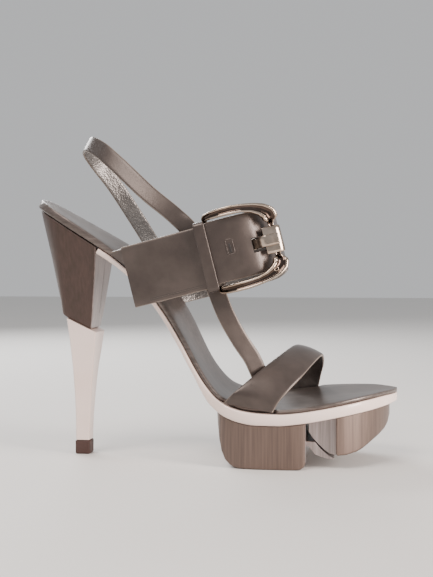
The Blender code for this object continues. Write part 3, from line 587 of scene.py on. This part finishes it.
# %% Straps
def strap(name, middle, rows, cols, wall, outer_first, finishes, soft=0.35, relief=None):
    """A strap with real wall thickness: middle(t, h) is its middle surface, h from -1 to 1 across it."""
    rings = []
    for t in spread(rows):
        sides = [[], []]
        for h in spread(cols, -1.0, 1.0):
            along = middle(min(t + 0.004, 1.0), h) - middle(max(t - 0.004, 0.0), h)
            across = (middle(t, min(h + 0.05, 1.0)) - middle(t, max(h - 0.05, -1.0))).normalized()
            n = along.cross(across).normalized()
            push = relief(t, h) if relief else 0.0
            at = middle(t, h) + n * (push if outer_first else -push)
            thin = wall * (0.5 - 0.08 * ease((abs(h) - 0.86) / 0.14))
            sides[0].append(at + n * thin)
            sides[1].append(at - n * thin)
            if h in (-1.0, 1.0):
                edge = [at + across * (h * soft * out) + n * (wall * side)
                        for out, side in ((0.7, 0.30), (1.0, 0.12), (1.0, -0.12), (0.7, -0.30))]
                if h < 0.0:
                    low_edge = edge
        rings.append(sides[0] + edge + list(reversed(sides[1])) + list(reversed(low_edge)))
    strips = [0] * (cols - 1) + [1] * 5 + [2] * (cols - 1) + [1] * 5
    if not outer_first:
        strips = [2 if k == 0 else 0 if k == 2 else 1 for k in strips]
    return skin(name, rings, [*finishes, finishes[1]], strips)


def plan_middle(plan, half, rise, shift=None):
    line = space_line([(p, q, 0.0) for p, q in plan])

    def middle(t, h):
        at = line(t)
        move = shift(t, h) if shift else (0.0, 0.0)
        return cuff(at.x + move[0], at.y + move[1], h * half + rise(at.x, at.y))

    return middle, line


def edge_place(h, side, beyond):
    """Where the cuff's row h meets the sole's edge."""
    low, high = -60.0, 60.0
    for _ in range(40):
        mid = 0.5 * (low + high)
        at = cuff(mid, 0.0, h)
        x = clear(at.x, -20.0, 140.0)
        width = sole_in(x) if side > 0 else sole_out(x)
        if at.z < sole_point(x, side * width, END_DEPTH).z:
            low = mid
        else:
            high = mid
    at = cuff(low, 0.0, h)
    return low, side * ((sole_in(at.x) if side > 0 else sole_out(at.x)) + beyond)


def end_shift(side, start, share, drop=0.0):
    """Slides a strap's first part so that its end follows the sole's slanted edge."""
    kept = {}

    def shift(t, h):
        if t >= share:
            return 0.0, 0.0
        key = round(h, 4)
        if key not in kept:
            kept[key] = edge_place(h * CUFF_HALF + drop, side, END_AIR + CUFF_WALL / 2.0)
        p, q = kept[key]
        fade = (1.0 - t / share) ** 1.4
        return (p - start[0]) * fade, (q - start[1]) * fade

    return shift


# %% [markdown]
# ## Cuff
# The wide strap rises from the sole's inner edge, goes round the instep, through the buckle and the keeper,
# and ends behind them. Worn leather swells a little beside the prong's hole and sinks where the buckle
# holds it, so its outer face gets soft swellings of a few tenths of a millimetre.

# %% Cuff
CUFF_PLAN = (
    (10.0, 26.0), (17.0, 30.0), (26.0, 32.8), (38.0, 34.0), (50.0, 32.6), (60.0, 28.6), (69.4, 21.0),
    (76.4, 10.0), (79.2, -3.0), (79.0, -14.0), (77.8, -23.0), (75.6, -30.0), (72.6, -35.2), (69.0, -38.4),
    (65.0, -40.2), (58.0, -41.3), (50.0, -41.6), (42.0, -41.3), (30.0, -40.3), (15.0, -39.0), (0.0, -37.9),
)
BASE_PLAN = (
    (2.0, -26.0), (8.0, -31.2), (16.0, -35.2), (26.0, -37.4), (34.0, -38.2), (41.0, -38.6), (46.4, -39.05),
    (48.3, -38.3), (49.1, -36.4), (48.3, -34.5), (47.3, -33.9),
)

SWELLINGS = (
    # p, h, reach along, reach across, height in mm
    (61.5, 8.0, 5.0, 5.0, 0.45),
    (61.0, -6.5, 6.0, 5.5, 0.40),
    (66.0, 1.0, 4.0, 5.5, -0.25),
    (52.0, -10.0, 8.0, 4.0, 0.25),
    (49.5, 10.0, 4.0, 6.0, -0.25),
    (30.0, 4.0, 16.0, 9.0, 0.30),
    (12.0, -8.0, 10.0, 7.0, 0.25),
    (38.5, -2.0, 3.0, 12.0, -0.20),
)
cuff_middle, cuff_line = plan_middle(
    CUFF_PLAN, CUFF_HALF, cuff_rise, end_shift(1, CUFF_PLAN[0], 0.24, INNER_DROP)
)


def cuff_relief(t, h):
    at = cuff_line(t)
    if at.y > -30.0:
        return 0.0
    high = h * CUFF_HALF
    push = 0.0
    for p, mid, long, wide, height in SWELLINGS:
        push += height * math.exp(-((at.x - p) / long) ** 2 - ((high - mid) / wide) ** 2)
    return push * ease((1.0 - abs(h)) / 0.15)


cuff_strap = strap(
    "shown_cuff_strap", cuff_middle, 300, 33, CUFF_WALL, False, (STRAP, EDGE_PAINT_AND_HIGHLIGHT, LINING), relief=cuff_relief
)
base_middle = plan_middle(BASE_PLAN, CUFF_HALF, lambda p, q: 0.0, end_shift(-1, BASE_PLAN[0], 0.5))[0]
base_strap = strap("shown_cuff_base", base_middle, 120, 25, CUFF_WALL, True, (STRAP, EDGE_PAINT_AND_HIGHLIGHT, LINING))

# %% [markdown]
# ## Holes
# The prong's hole, the slot in the folded strap and the one unused hole are punched. A Boolean with a box
# in the cuff's own directions cuts each, and the result is turned into a plain mesh before the piece rides.
# The walls of the holes take the dark finish, as painted shade.

# %% Holes
def make_plain(made):
    """Gives a piece the mesh that its modifiers make of it, and takes the modifiers away."""
    graph = bpy.context.evaluated_depsgraph_get()
    whole = bpy.data.meshes.new_from_object(made.evaluated_get(graph))
    made.modifiers.clear()
    made.data = whole


def punch(made, holes, inside):
    """Cuts boxes (p, q, h low and high) out of a piece, gives its walls painted shade, keeps a plain mesh."""
    cutters = []
    for k, (low, high) in enumerate(holes):
        shape = bmesh.new()
        bmesh.ops.create_cube(shape, size=1.0)
        for vert in shape.verts:
            share = [vert.co[i] + 0.5 for i in range(3)]
            vert.co = cuff(*[low[i] + (high[i] - low[i]) * share[i] for i in range(3)]) * MM
        bmesh.ops.recalc_face_normals(shape, faces=shape.faces)
        mesh = bpy.data.meshes.new("punch")
        shape.to_mesh(mesh)
        shape.free()
        mesh.materials.append(inside)
        cutter = new_object("punch", mesh)
        cutters.append(cutter)
        cut = made.modifiers.new("punch", "BOOLEAN")
        cut.operation = "DIFFERENCE"
        cut.solver = "EXACT"
        cut.material_mode = "TRANSFER"
        cut.object = cutter
    make_plain(made)
    made.data.set_sharp_from_angle(angle=math.radians(38.0))
    for cutter in cutters:
        bpy.data.objects.remove(cutter)


PRONG_HOLE = ((67.6, -48.0, -3.9), (73.6, -28.0, 3.9))
SPARE_HOLE = ((55.8, -48.0, -1.0), (57.0, -39.6, 3.9))
PRONG_SLOT = ((42.4, -44.8, -3.9), (52.4, -28.0, 3.9))
# The walls of the holes get the dark finish: painted shade.
punch(cuff_strap, (PRONG_HOLE, SPARE_HOLE), DARK_THREAD_AND_SHADE)
punch(base_strap, (PRONG_SLOT,), DARK_THREAD_AND_SHADE)
stand_for(cuff_strap, "cuff_strap")
stand_for(base_strap, "cuff_base_strap")

# %% [markdown]
# ## Keeper
# The keeper is a narrow folded band round both straps. It is narrower behind, where the buckle's hinge is.

# %% Keeper
KEEPER_REAR, KEEPER_FRONT, KEEPER_NARROW = 40.2, 46.2, 42.3
KEEPER_HALF = CUFF_HALF + 1.8
KEEPER_WALL = 1.5
KEEPER_OUT, KEEPER_IN = -43.65, -36.4
KEEPER_ROUND = 1.6


def rounded(q0, q1, h0, h1, radius, steps):
    """A rounded rectangle as (q, h, outward angle) points."""
    made = []
    for q, h, turn in ((q1, h1, 0.0), (q0, h1, 0.5), (q0, h0, 1.0), (q1, h0, 1.5)):
        cq = q - radius if q == q1 else q + radius
        ch = h - radius if h == h1 else h + radius
        for k in range(steps):
            a = math.pi * (turn + 0.5 * k / (steps - 1))
            made.append((cq + radius * math.cos(a), ch + radius * math.sin(a), a))
    return made


corners = rounded(KEEPER_OUT, KEEPER_IN, -KEEPER_HALF, KEEPER_HALF, KEEPER_ROUND, 9)
rings = []
for k, (q, h, a) in enumerate(corners):
    q2, h2, _ = corners[(k + 1) % len(corners)]
    parts = 14 if math.hypot(q2 - q, h2 - h) > 3.0 else 1
    for part in range(parts):
        share = part / parts
        at_q, at_h = q + (q2 - q) * share, h + (h2 - h) * share
        front = KEEPER_FRONT + (KEEPER_NARROW - KEEPER_FRONT) * ease((at_q - KEEPER_OUT - 0.5) / 1.1)
        half = KEEPER_WALL / 2.0
        rear = KEEPER_REAR
        ring = []
        for p, grow in ((rear, -0.7), (rear, 0.5), (rear + 0.15, 0.85), (rear + 0.5, 1.0),
                        (rear + 0.3 * (front - rear), 1.0), (rear + 0.7 * (front - rear), 1.0),
                        (front - 0.5, 1.0), (front - 0.15, 0.85), (front, 0.5), (front, -0.7),
                        (front - 0.3, -1.0), (rear + 0.3, -1.0)):
            ring.append(cuff(p, at_q + grow * half * math.cos(a), at_h + grow * half * math.sin(a)))
        rings.append(ring)
keeper = skin("shown_keeper_loop", rings, [STRAP], hoop=True)
stand_for(keeper, "keeper_loop")

# %% [markdown]
# ## Heel strap and toe strap
# The heel strap is one long narrow band: it comes up from under the toe strap, runs behind the cuff, turns
# round the back of the heel and ends on the inner side of the cuff. A second line carries its outward
# direction along.

# %% Heel strap
HEEL_STRAP = (
    # x, y, z, normal x, y, z
    (106.0, -29.2, 39.6, 0.25, -0.90, 0.40),
    (102.4, -26.2, 45.8, 0.25, -0.84, 0.45),
    (97.8, -28.0, 56.6, 0.25, -0.90, 0.30),
    (91.7, -30.0, 66.2, 0.22, -0.95, 0.20),
    (84.0, -32.6, 80.7, 0.16, -0.98, 0.12),
    (79.2, -31.9, 92.2, 0.05, -1.00, 0.02),
    (71.2, -31.9, 109.7, 0.0, -1.00, 0.0),
    (64.8, -32.4, 124.6, -0.02, -1.00, 0.06),
    (57.4, -32.3, 131.8, -0.09, -0.86, 0.46),
    (43.9, -30.8, 142.6, -0.18, -0.84, 0.50),
    (22.4, -21.6, 161.4, -0.38, -0.78, 0.48),
    (12.0, -13.4, 169.4, -0.56, -0.66, 0.50),
    (3.4, -4.6, 173.2, -0.82, -0.34, 0.46),
    (0.6, 4.0, 171.6, -0.90, 0.20, 0.38),
    (2.6, 12.4, 166.2, -0.78, 0.55, 0.26),
    (10.4, 21.0, 154.6, -0.55, 0.80, 0.18),
    (22.9, 27.2, 134.4, -0.30, 0.94, 0.10),
    (31.0, 27.2, 121.6, -0.24, 0.97, 0.03),
    (35.6, 26.4, 114.2, -0.34, 0.94, -0.04),
    (37.2, 25.8, 111.0, -0.38, 0.92, -0.07),
    (38.2, 25.2, 108.6, -0.40, 0.91, -0.08),
)
HEEL_STRAP_HALF = 4.3
HEEL_STRAP_WALL = 1.6
heel_line = space_line([row[:3] for row in HEEL_STRAP])


def facing(t):
    """The strap's outward direction, turned softly from row to row."""
    i, u = heel_line.find(t)
    return Vector(HEEL_STRAP[i][3:]).lerp(Vector(HEEL_STRAP[i + 1][3:]), ease(u)).normalized()


def heel_middle(t, h):
    along = heel_line(min(t + 0.006, 1.0)) - heel_line(max(t - 0.006, 0.0))
    across = facing(t).cross(along).normalized()
    return heel_line(t) - across * (h * HEEL_STRAP_HALF)


heel_strap = strap("shown_heel_strap", heel_middle, 320, 11, HEEL_STRAP_WALL, False, (STRAP, EDGE_PAINT_AND_HIGHLIGHT, LINING))
stand_for(heel_strap, "heel_strap")

# %% Toe strap
TOE_REAR = (
    (88.2, -37.4, 38.6), (94.0, -35.4, 43.6), (103.0, -28.2, 51.0), (112.0, -15.0, 57.8), (118.0, -0.5, 61.4),
    (119.8, 13.0, 59.8), (117.6, 24.6, 53.2), (113.4, 32.4, 45.4),
)
TOE_FRONT = (
    (112.0, -36.9, 35.2), (116.4, -34.2, 40.2), (122.6, -27.6, 46.6), (128.6, -15.0, 53.2),
    (132.4, 0.0, 56.4), (133.2, 13.0, 54.6), (132.6, 24.2, 48.8), (131.0, 31.0, 43.0),
)
TOE_WALL = 1.8
TOE_RISE = 0.75  # of the strap's ends over the midsole


def toe_end(x, side):
    width = sole_in(x) if side > 0 else sole_out(x)
    y = side * (width - 0.15 - TOE_WALL / 2.0)
    at = sole_point(x, y, insole_t(x) + GAP)
    return at.x, y, at.z + TOE_RISE


toe_rear = space_line([toe_end(TOE_OUTER[0], -1), *TOE_REAR, toe_end(TOE_INNER[0], 1)])
toe_front = space_line([toe_end(TOE_OUTER[1], -1), *TOE_FRONT, toe_end(TOE_INNER[1], 1)])


def toe_middle(t, h):
    at = toe_rear(t).lerp(toe_front(t), 0.5 + 0.5 * h)
    bow = 0.9 * (1.0 - h * h) * math.sin(math.pi * t) ** 0.5 if 0.0 < t < 1.0 else 0.0
    return at + Vector((0.0, 0.3 * math.copysign(1.0, at.y) * bow, bow))


toe_strap = strap("shown_toe_strap", toe_middle, 180, 21, TOE_WALL, False, (STRAP, EDGE_PAINT_AND_HIGHLIGHT, LINING))
stand_for(toe_strap, "toe_strap")

# %% [markdown]
# ## Buckle
# The frame is cast: a bar with a channel between two rounded rims, which gives the double bright line in
# the photograph. It widens into two broad corners at the front and steps down to a thin neck beside the
# saddle plate. The same rows as the model's are followed, with a finer ring that has the channel in it. The
# channel is drawn in a darker metal, as painted shade.

# %% Buckle frame
FRAME_SIDE = (
    (46.4, -36.4, 0.5, 2.2, 2.2, 0.0),
    (46.1, -37.2, 2.3, 2.5, 2.4, 0.0),
    (47.0, -39.0, 3.3, 3.4, 2.5, -10.0),
    (50.4, -41.6, 3.7, 4.2, 2.6, -12.0),
    (55.0, -43.3, 3.8, 4.5, 2.6, -6.0),
    (61.0, -44.0, 3.7, 4.6, 2.6, 0.0),
    (67.0, -43.4, 3.2, 4.4, 2.6, 8.0),
    (72.0, -42.1, 2.1, 5.0, 2.8, 14.0),
    (76.2, -40.4, 0.2, 6.6, 3.2, 20.0),
    (79.2, -38.9, -2.4, 8.0, 3.2, 24.0),
    (79.8, -38.4, -4.8, 8.0, 3.2, 24.0),
    (79.5, -37.4, -5.3, 4.4, 2.8, 20.0),
    (79.2, -35.6, -7.1, 3.4, 2.6, 0.0),
)
HINGE = (46.4, -36.4)
REST = (79.2, -35.3)
FRAME_RISE = 0.7
BAR_STEP = 0.8  # between two rings of the bar
RIM = (
    # across, outward, as shares of the bar's width and thickness
    (0.50, 0.10), (0.49, 0.34), (0.44, 0.47), (0.36, 0.50), (0.27, 0.45), (0.20, 0.28), (0.10, 0.20),
    (-0.10, 0.20), (-0.20, 0.28), (-0.27, 0.45), (-0.36, 0.50), (-0.44, 0.47), (-0.49, 0.34), (-0.50, 0.10),
    (-0.50, -0.3), (-0.42, -0.44), (-0.3, -0.5), (0.3, -0.5), (0.42, -0.44), (0.50, -0.3),
)
side = [(p, q, CUFF_HALF + over, wide, thick, turn) for p, q, over, wide, thick, turn in FRAME_SIDE]
rows = [(HINGE[0], HINGE[1], h, 2.2, 2.2, 0.0) for h in (-12.0, -4.0, 4.0, 12.0)]
rows += side
rows += [(REST[0], REST[1], h, 2.6, 2.6, 0.0) for h in (6.2, 2.0, -2.0, -6.2)]
rows += [(p, q, -h, wide, thick, turn) for p, q, h, wide, thick, turn in reversed(side)]
fine = []
for k, row in enumerate(rows):
    before, after, later = rows[k - 1], rows[(k + 1) % len(rows)], rows[(k + 2) % len(rows)]
    reach = (Vector(after[:3]) - Vector(row[:3])).length
    parts = 1 if reach < BAR_STEP else max(2, round(reach / BAR_STEP))
    start = (Vector(after[:3]) - Vector(before[:3])) * 0.5
    stop = (Vector(later[:3]) - Vector(row[:3])) * 0.5
    start *= min(1.0, 0.4 * reach / start.length)
    stop *= min(1.0, 0.4 * reach / stop.length)
    for part in range(parts):
        u = part / parts
        at = hermite(Vector(row[:3]), Vector(after[:3]), start, stop, 1.0, u)
        rest = [row[i] + (after[i] - row[i]) * u for i in (3, 4, 5)]
        fine.append((at, *rest))
print("buckle bar in", len(fine), "rings")

# %% Buckle frame's skin
rings = []
for k, (here, wide, thick, turn) in enumerate(fine):
    along = (fine[(k + 1) % len(fine)][0] - fine[k - 1][0]).normalized()
    outward = Vector((math.sin(math.radians(turn)), -math.cos(math.radians(turn)), 0.0))
    outward = (outward - along * outward.dot(along)).normalized()
    across = along.cross(outward)
    ring = []
    for a, b in RIM:
        at = here + across * (a * wide) + outward * (b * thick)
        ring.append(cuff(at.x, at.y, at.z + FRAME_RISE))
    rings.append(ring)
# The strips in the channel get the darker metal: painted shade.
channel = [1 if i in (4, 5, 6, 7, 8) else 0 for i in range(len(RIM))]
frame_bar = skin("shown_buckle_frame", rings, [PLATING, CHANNEL_PAINTED_SHADE], channel, hoop=True)
stand_for(frame_bar, "buckle_frame")

# %% Saddle and prong
SADDLE_PLAN = (
    (74.2, -39.3), (76.6, -38.8), (79.2, -37.75), (81.2, -36.95), (82.4, -35.7), (82.5, -34.2),
    (81.4, -33.0), (79.9, -32.7),
)
PRONG_PLAN = (
    (47.8, -34.5), (46.4, -34.0), (44.7, -34.7), (44.0, -36.4), (44.7, -38.1), (46.4, -38.8), (50.0, -38.1),
    (54.0, -36.7), (60.0, -36.2), (65.0, -36.3), (68.0, -37.0), (70.6, -38.2), (73.2, -40.4), (74.4, -41.15),
    (76.8, -40.8), (79.2, -39.75), (81.6, -38.75),
)
PLATE_RISE = 0.5  # the plates' middle above the cuff's


def plate(name, plan, half, wall, rows, cols):
    """A bent metal plate along a line of the cuff's plan, with rounded long edges."""
    middle = plan_middle(plan, half, lambda p, q: PLATE_RISE)[0]
    return strap(name, middle, rows, cols, wall, True, (PLATING, PLATING, PLATING))


saddle = plate("shown_buckle_saddle", SADDLE_PLAN, 6.6, 1.3, 60, 9)
stand_for(saddle, "buckle_saddle")
prong = plate("shown_buckle_prong", PRONG_PLAN, 2.55, 1.4, 110, 7)
stand_for(prong, "buckle_prong")

# %% [markdown]
# ## Finer copies of the solids
# The solids are coarse and flat-shaded. Pieces with a hard body, such as the blocks and the heel, keep
# their shape: a copy has its loose triangles merged, a small bevel where the cover turns over an edge, and
# weighted normals, so that flat faces stay flat and only the edges look soft.

# %% Hard pieces
def hard_copy(node, name, finishes, bevel_mm, zone=None, sharp=28.0):
    """A merged and bevelled copy that stands for the CAD node. zone(middle, normal) picks a face's finish."""
    mesh = nodes[node].data.copy()
    mesh.materials.clear()
    made = new_object(name, mesh)
    shape = bmesh.new()
    shape.from_mesh(mesh)
    bmesh.ops.remove_doubles(shape, verts=shape.verts, dist=0.01 * MM)
    bmesh.ops.dissolve_limit(shape, angle_limit=math.radians(1.0), verts=shape.verts, edges=shape.edges)
    for face in shape.faces:
        face.smooth = True
        face.material_index = zone(face.calc_center_median() / MM, face.normal) if zone else 0
    for edge in shape.edges:
        edge.smooth = True
    shape.to_mesh(mesh)
    shape.free()
    for attribute in [a.name for a in mesh.attributes if a.name in ("custom_normal", "sharp_edge")]:
        mesh.attributes.remove(mesh.attributes[attribute])
    for finish_name in finishes:
        mesh.materials.append(finish_name)
    soften = made.modifiers.new("soft edges", "BEVEL")
    soften.width = bevel_mm * MM
    soften.segments = 3
    soften.limit_method = "ANGLE"
    soften.angle_limit = math.radians(sharp)
    flat = made.modifiers.new("flat faces", "WEIGHTED_NORMAL")
    flat.keep_sharp = False
    flat.weight = 80
    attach(made, "root")
    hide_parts(node)
    print(name, len(mesh.polygons), "faces before the bevel")
    return made


def tongue_zone(middle, normal):
    """The two curved faces in the gap between the blocks are grey."""
    return 1 if 124.0 < middle.x < 141.5 and abs(middle.y) < 30.6 and abs(normal.z) < 0.97 else 0


def breast_zone(middle, normal):
    """The heel's front face is grey and pale, its sides and back are dark brown."""
    return 1 if normal.x > 0.55 else 0


hard_copy("platform_rear", "shown_platform_rear", (COVER, BREAST), 0.6, tongue_zone)
hard_copy("platform_front", "shown_platform_front", (COVER, BREAST), 0.5, tongue_zone)
heel_block = hard_copy("heel_cover", "shown_heel_cover", (HEEL_COVER, BREAST), 0.45, breast_zone)
hard_copy("heel_stem", "shown_heel_stem", (PATENT,), 0.4)
hard_copy("top_lift", "shown_top_lift", (LIFT,), 0.3)

# %% [markdown]
# ## Seams, creases and the pressed outline
# Fine lines lie on finished surfaces, so they are placed by looking for the surface: a ray goes from a
# point outside in a given direction, and the line's point is where it lands. Each line is a thin flat cord
# that stands no more than 0.14 mm out of the surface.

# %% Lines that lie on a surface
bpy.context.view_layer.update()
GRAPH = bpy.context.evaluated_depsgraph_get()


def land(target, point, direction):
    """Where a ray from a point in mm meets a piece: place and normal, in mm."""
    solid = target.evaluated_get(GRAPH)
    hit, place, normal, _ = solid.ray_cast(Vector(point) * MM, Vector(direction).normalized())
    if not hit:
        raise ValueError("no surface under " + str([round(c, 1) for c in point]))
    return place / MM, normal


CORD = ((-0.5, -0.5), (-0.5, 0.3), (-0.3, 0.85), (0.0, 1.0), (0.3, 0.85), (0.5, 0.3), (0.5, -0.5))


def inlay(name, places, wide, high, finishes, closed=False):
    """A thin cord with a half round top along places on a surface."""
    rings = []
    for k, (at, normal) in enumerate(places):
        before = places[k - 1][0] if k or closed else at
        after = places[(k + 1) % len(places)][0] if k < len(places) - 1 or closed else at
        along = (after - before).normalized()
        across = normal.cross(along).normalized()
        rings.append([at + across * (wide * a) + normal * (high * b) for a, b in CORD])
    made = skin(name, rings, finishes, hoop=closed)
    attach(made, "root")
    print(name, len(made.data.polygons), "faces")
    return made


seam = [land(heel_block, (60.0, 2.4, z), (-1.0, 0.0, 0.0)) for z in spread(26, 79.0, 118.0)]
inlay("heel_front_seam", seam, 0.34, 0.05, [DARK_THREAD_AND_SHADE])

# %% Cuff creases and outline
def on_cuff(p, h):
    """A place on the outer face of the cuff."""
    return land(cuff_strap, cuff(p, -62.0, h), (0.0, 1.0, 0.0))


def low_edge(p, over):
    """A place on the cuff a given distance above its lower edge."""
    return on_cuff(p, cuff_rise(p, -32.0) - CUFF_HALF + over)


# The two dark cords along the cuff's lower edge are painted shade in its creases.
for name, over in (("cuff_crease_shade_low", 1.5), ("cuff_crease_shade_high", 2.4)):
    places = [low_edge(p, over) for p in spread(90, 9.0, 38.0)]
    inlay(name, places, 0.16, 0.03, [DARK_THREAD_AND_SHADE])

OUTLINE = (54.5, 58.2, -1.8, 6.1)  # p and h of the pressed outline's sides
outline = [on_cuff(p, h) for p, h, _ in rounded(*OUTLINE, 0.8, 5)]
inlay("hole_outline", outline, 0.55, 0.14, [STRAP], closed=True)
hole_middle = 0.5 * (SPARE_HOLE[0][0] + SPARE_HOLE[1][0])
slot = []
for h in spread(12, SPARE_HOLE[0][2] + 0.1, SPARE_HOLE[1][2] - 0.1):
    at, normal = on_cuff(58.0, h)
    slot.append((at + cuff(hole_middle, 0.0, h) - cuff(58.0, 0.0, h), normal))
inlay("hole_shadow", slot, 1.25, 0.14, [DARK_THREAD_AND_SHADE])

# %% [markdown]
# ## Stitches
# A row of short stitches runs along the lower edge of the cuff, between the two creases. The row is a path,
# and a Geometry Nodes tree puts one thread on it at every pitch, turned along the path. The result is
# turned into a plain mesh before it rides.

# %% Stitch tree
def stitch_tree():
    tree = bpy.data.node_groups.new("stitch_row", "GeometryNodeTree")
    kinds = {"Path": "Geometry", "Pitch": "Float", "Stitch": "Float", "Thread": "Float", "Finish": "Material"}
    for name, kind in kinds.items():
        tree.interface.new_socket(name, in_out="INPUT", socket_type="NodeSocket" + kind)
    tree.interface.new_socket("Stitches", in_out="OUTPUT", socket_type="NodeSocketGeometry")
    given = add(tree, "NodeGroupInput").outputs
    curve = add(tree, "GeometryNodeMeshToCurve", links={"Mesh": given["Path"]})
    points = add(tree, "GeometryNodeCurveToPoints", {"mode": "LENGTH"},
                 links={"Curve": curve.outputs["Curve"], "Length": given["Pitch"]})
    long = add(tree, "ShaderNodeCombineXYZ",
               links={"X": given["Thread"], "Y": given["Thread"], "Z": given["Stitch"]})
    bead = add(tree, "GeometryNodeMeshUVSphere", inputs={"Segments": 10, "Rings": 8, "Radius": 0.5})
    each = add(tree, "GeometryNodeInstanceOnPoints", links={
        "Points": points.outputs["Points"], "Instance": bead.outputs["Mesh"],
        "Rotation": points.outputs["Rotation"], "Scale": long.outputs["Vector"],
    })
    real = add(tree, "GeometryNodeRealizeInstances", links={"Geometry": each.outputs["Instances"]})
    dyed = add(tree, "GeometryNodeSetMaterial",
               links={"Geometry": real.outputs["Geometry"], "Material": given["Finish"]})
    add(tree, "NodeGroupOutput", links={"Stitches": dyed.outputs["Geometry"]})
    return tree


def stitch_row(tree, name, places, pitch, stitch, thread, finish_name):
    mesh = bpy.data.meshes.new(name)
    mesh.from_pydata([at * MM for at, _ in places], [(k, k + 1) for k in range(len(places) - 1)], [])
    made = new_object(name, mesh)
    rule = made.modifiers.new("stitches", "NODES")
    rule.node_group = tree
    given = {"Pitch": pitch * MM, "Stitch": stitch * MM, "Thread": thread * MM, "Finish": finish_name}
    for item in tree.interface.items_tree:
        if item.in_out == "INPUT" and item.name in given:
            rule[item.identifier] = given[item.name]
    bpy.context.view_layer.update()
    make_plain(made)
    for face in made.data.polygons:
        face.use_smooth = True
    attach(made, "root")
    print(name, len(made.data.polygons) // 80, "stitches")


ROW = stitch_tree()
places = [low_edge(p, 1.95) for p in spread(90, 9.4, 37.6)]
places = [(at + normal * 0.03, normal) for at, normal in places]
stitch_row(ROW, "cuff_stitches", places, 1.5, 1.2, 0.26, STRAP)

# %% [markdown]
# ## Eyelet on the buckle
# A small ringed hole is cast into the lower front corner of the frame: a raised ring, and in it a floor in
# the dark finish, as painted shade.

# %% Eyelet
at = land(frame_bar, cuff(76.6, -62.0, -14.6), (0.0, 1.0, 0.0))[0]
normal = Vector((math.sin(math.radians(20.0)), -math.cos(math.radians(20.0)), 0.0))
at = at + normal * 0.25
first = normal.cross(Vector((0.0, 0.0, 1.0))).normalized()
second = normal.cross(first)
EYELET = (
    # radius, height over the frame
    (0.0, -0.3), (0.75, -0.3), (0.8, 0.22), (0.95, 0.38),
    (1.15, 0.38), (1.3, 0.22), (1.38, -0.4), (0.0, -0.5),
)
EYELET_STEPS = 28
rings = []
for k in range(EYELET_STEPS):
    a = 2.0 * math.pi * k / EYELET_STEPS
    out = first * math.cos(a) + second * math.sin(a)
    rings.append([at + out * radius + normal * height for radius, height in EYELET])
# The two innermost strips take the dark finish: painted shade in the eyelet's hole.
eyelet = skin("buckle_eyelet", rings, [PLATING, DARK_THREAD_AND_SHADE], [1, 1, 0, 0, 0, 0, 0, 0], hoop=True)
weld = bmesh.new()
weld.from_mesh(eyelet.data)
bmesh.ops.remove_doubles(weld, verts=weld.verts, dist=0.002 * MM)
bmesh.ops.recalc_face_normals(weld, faces=weld.faces)
weld.to_mesh(eyelet.data)
weld.free()
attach(eyelet, "root")
print("eyelet at", [round(c, 1) for c in at])

# %% [markdown]
# ## Stage and light
# A pale floor, a large soft light above and in front, and a second one from the toe side that lights the
# heel's front face, as in the photograph. A third, from behind, draws the rims.

# %% Stage and light
floor_mesh = bpy.data.meshes.new("floor")
floor_mesh.from_pydata([(-3, -3, 0), (3, -3, 0), (3, 3, 0), (-3, 3, 0)], [], [(0, 1, 2, 3)])
floor = new_object("floor", floor_mesh)
floor_mesh.materials.append(finish("pale_floor", {"Base Color": linear("#DAD8D5"), "Roughness": 0.8})[0])

world = bpy.data.worlds.new("studio")
bpy.context.scene.world = world
world.use_nodes = True
world.node_tree.nodes["Background"].inputs["Color"].default_value = linear("#D5D6D8")
world.node_tree.nodes["Background"].inputs["Strength"].default_value = 0.85


def soft_light(name, at, toward, size, power, colour="#FFFFFF"):
    data = bpy.data.lights.new(name, "AREA")
    data.shape = "RECTANGLE"
    data.size, data.size_y = size
    data.energy = power
    data.color = linear(colour)[:3]
    lamp = new_object(name, data)
    lamp.location = at
    lamp.rotation_mode = "QUATERNION"
    lamp.rotation_quaternion = (Vector(at) - Vector(toward)).to_track_quat("Z", "Y")


CENTRE = (0.075, 0.0, 0.09)
soft_light("key", (-0.25, -0.55, 0.85), CENTRE, (0.6, 0.4), 8.0, "#FFF4EC")
soft_light("toe_side", (0.95, -0.35, 0.3), CENTRE, (0.35, 0.6), 17.0, "#FFF2EA")
soft_light("back_rim", (-0.5, 0.75, 0.6), CENTRE, (0.8, 0.3), 12.0)
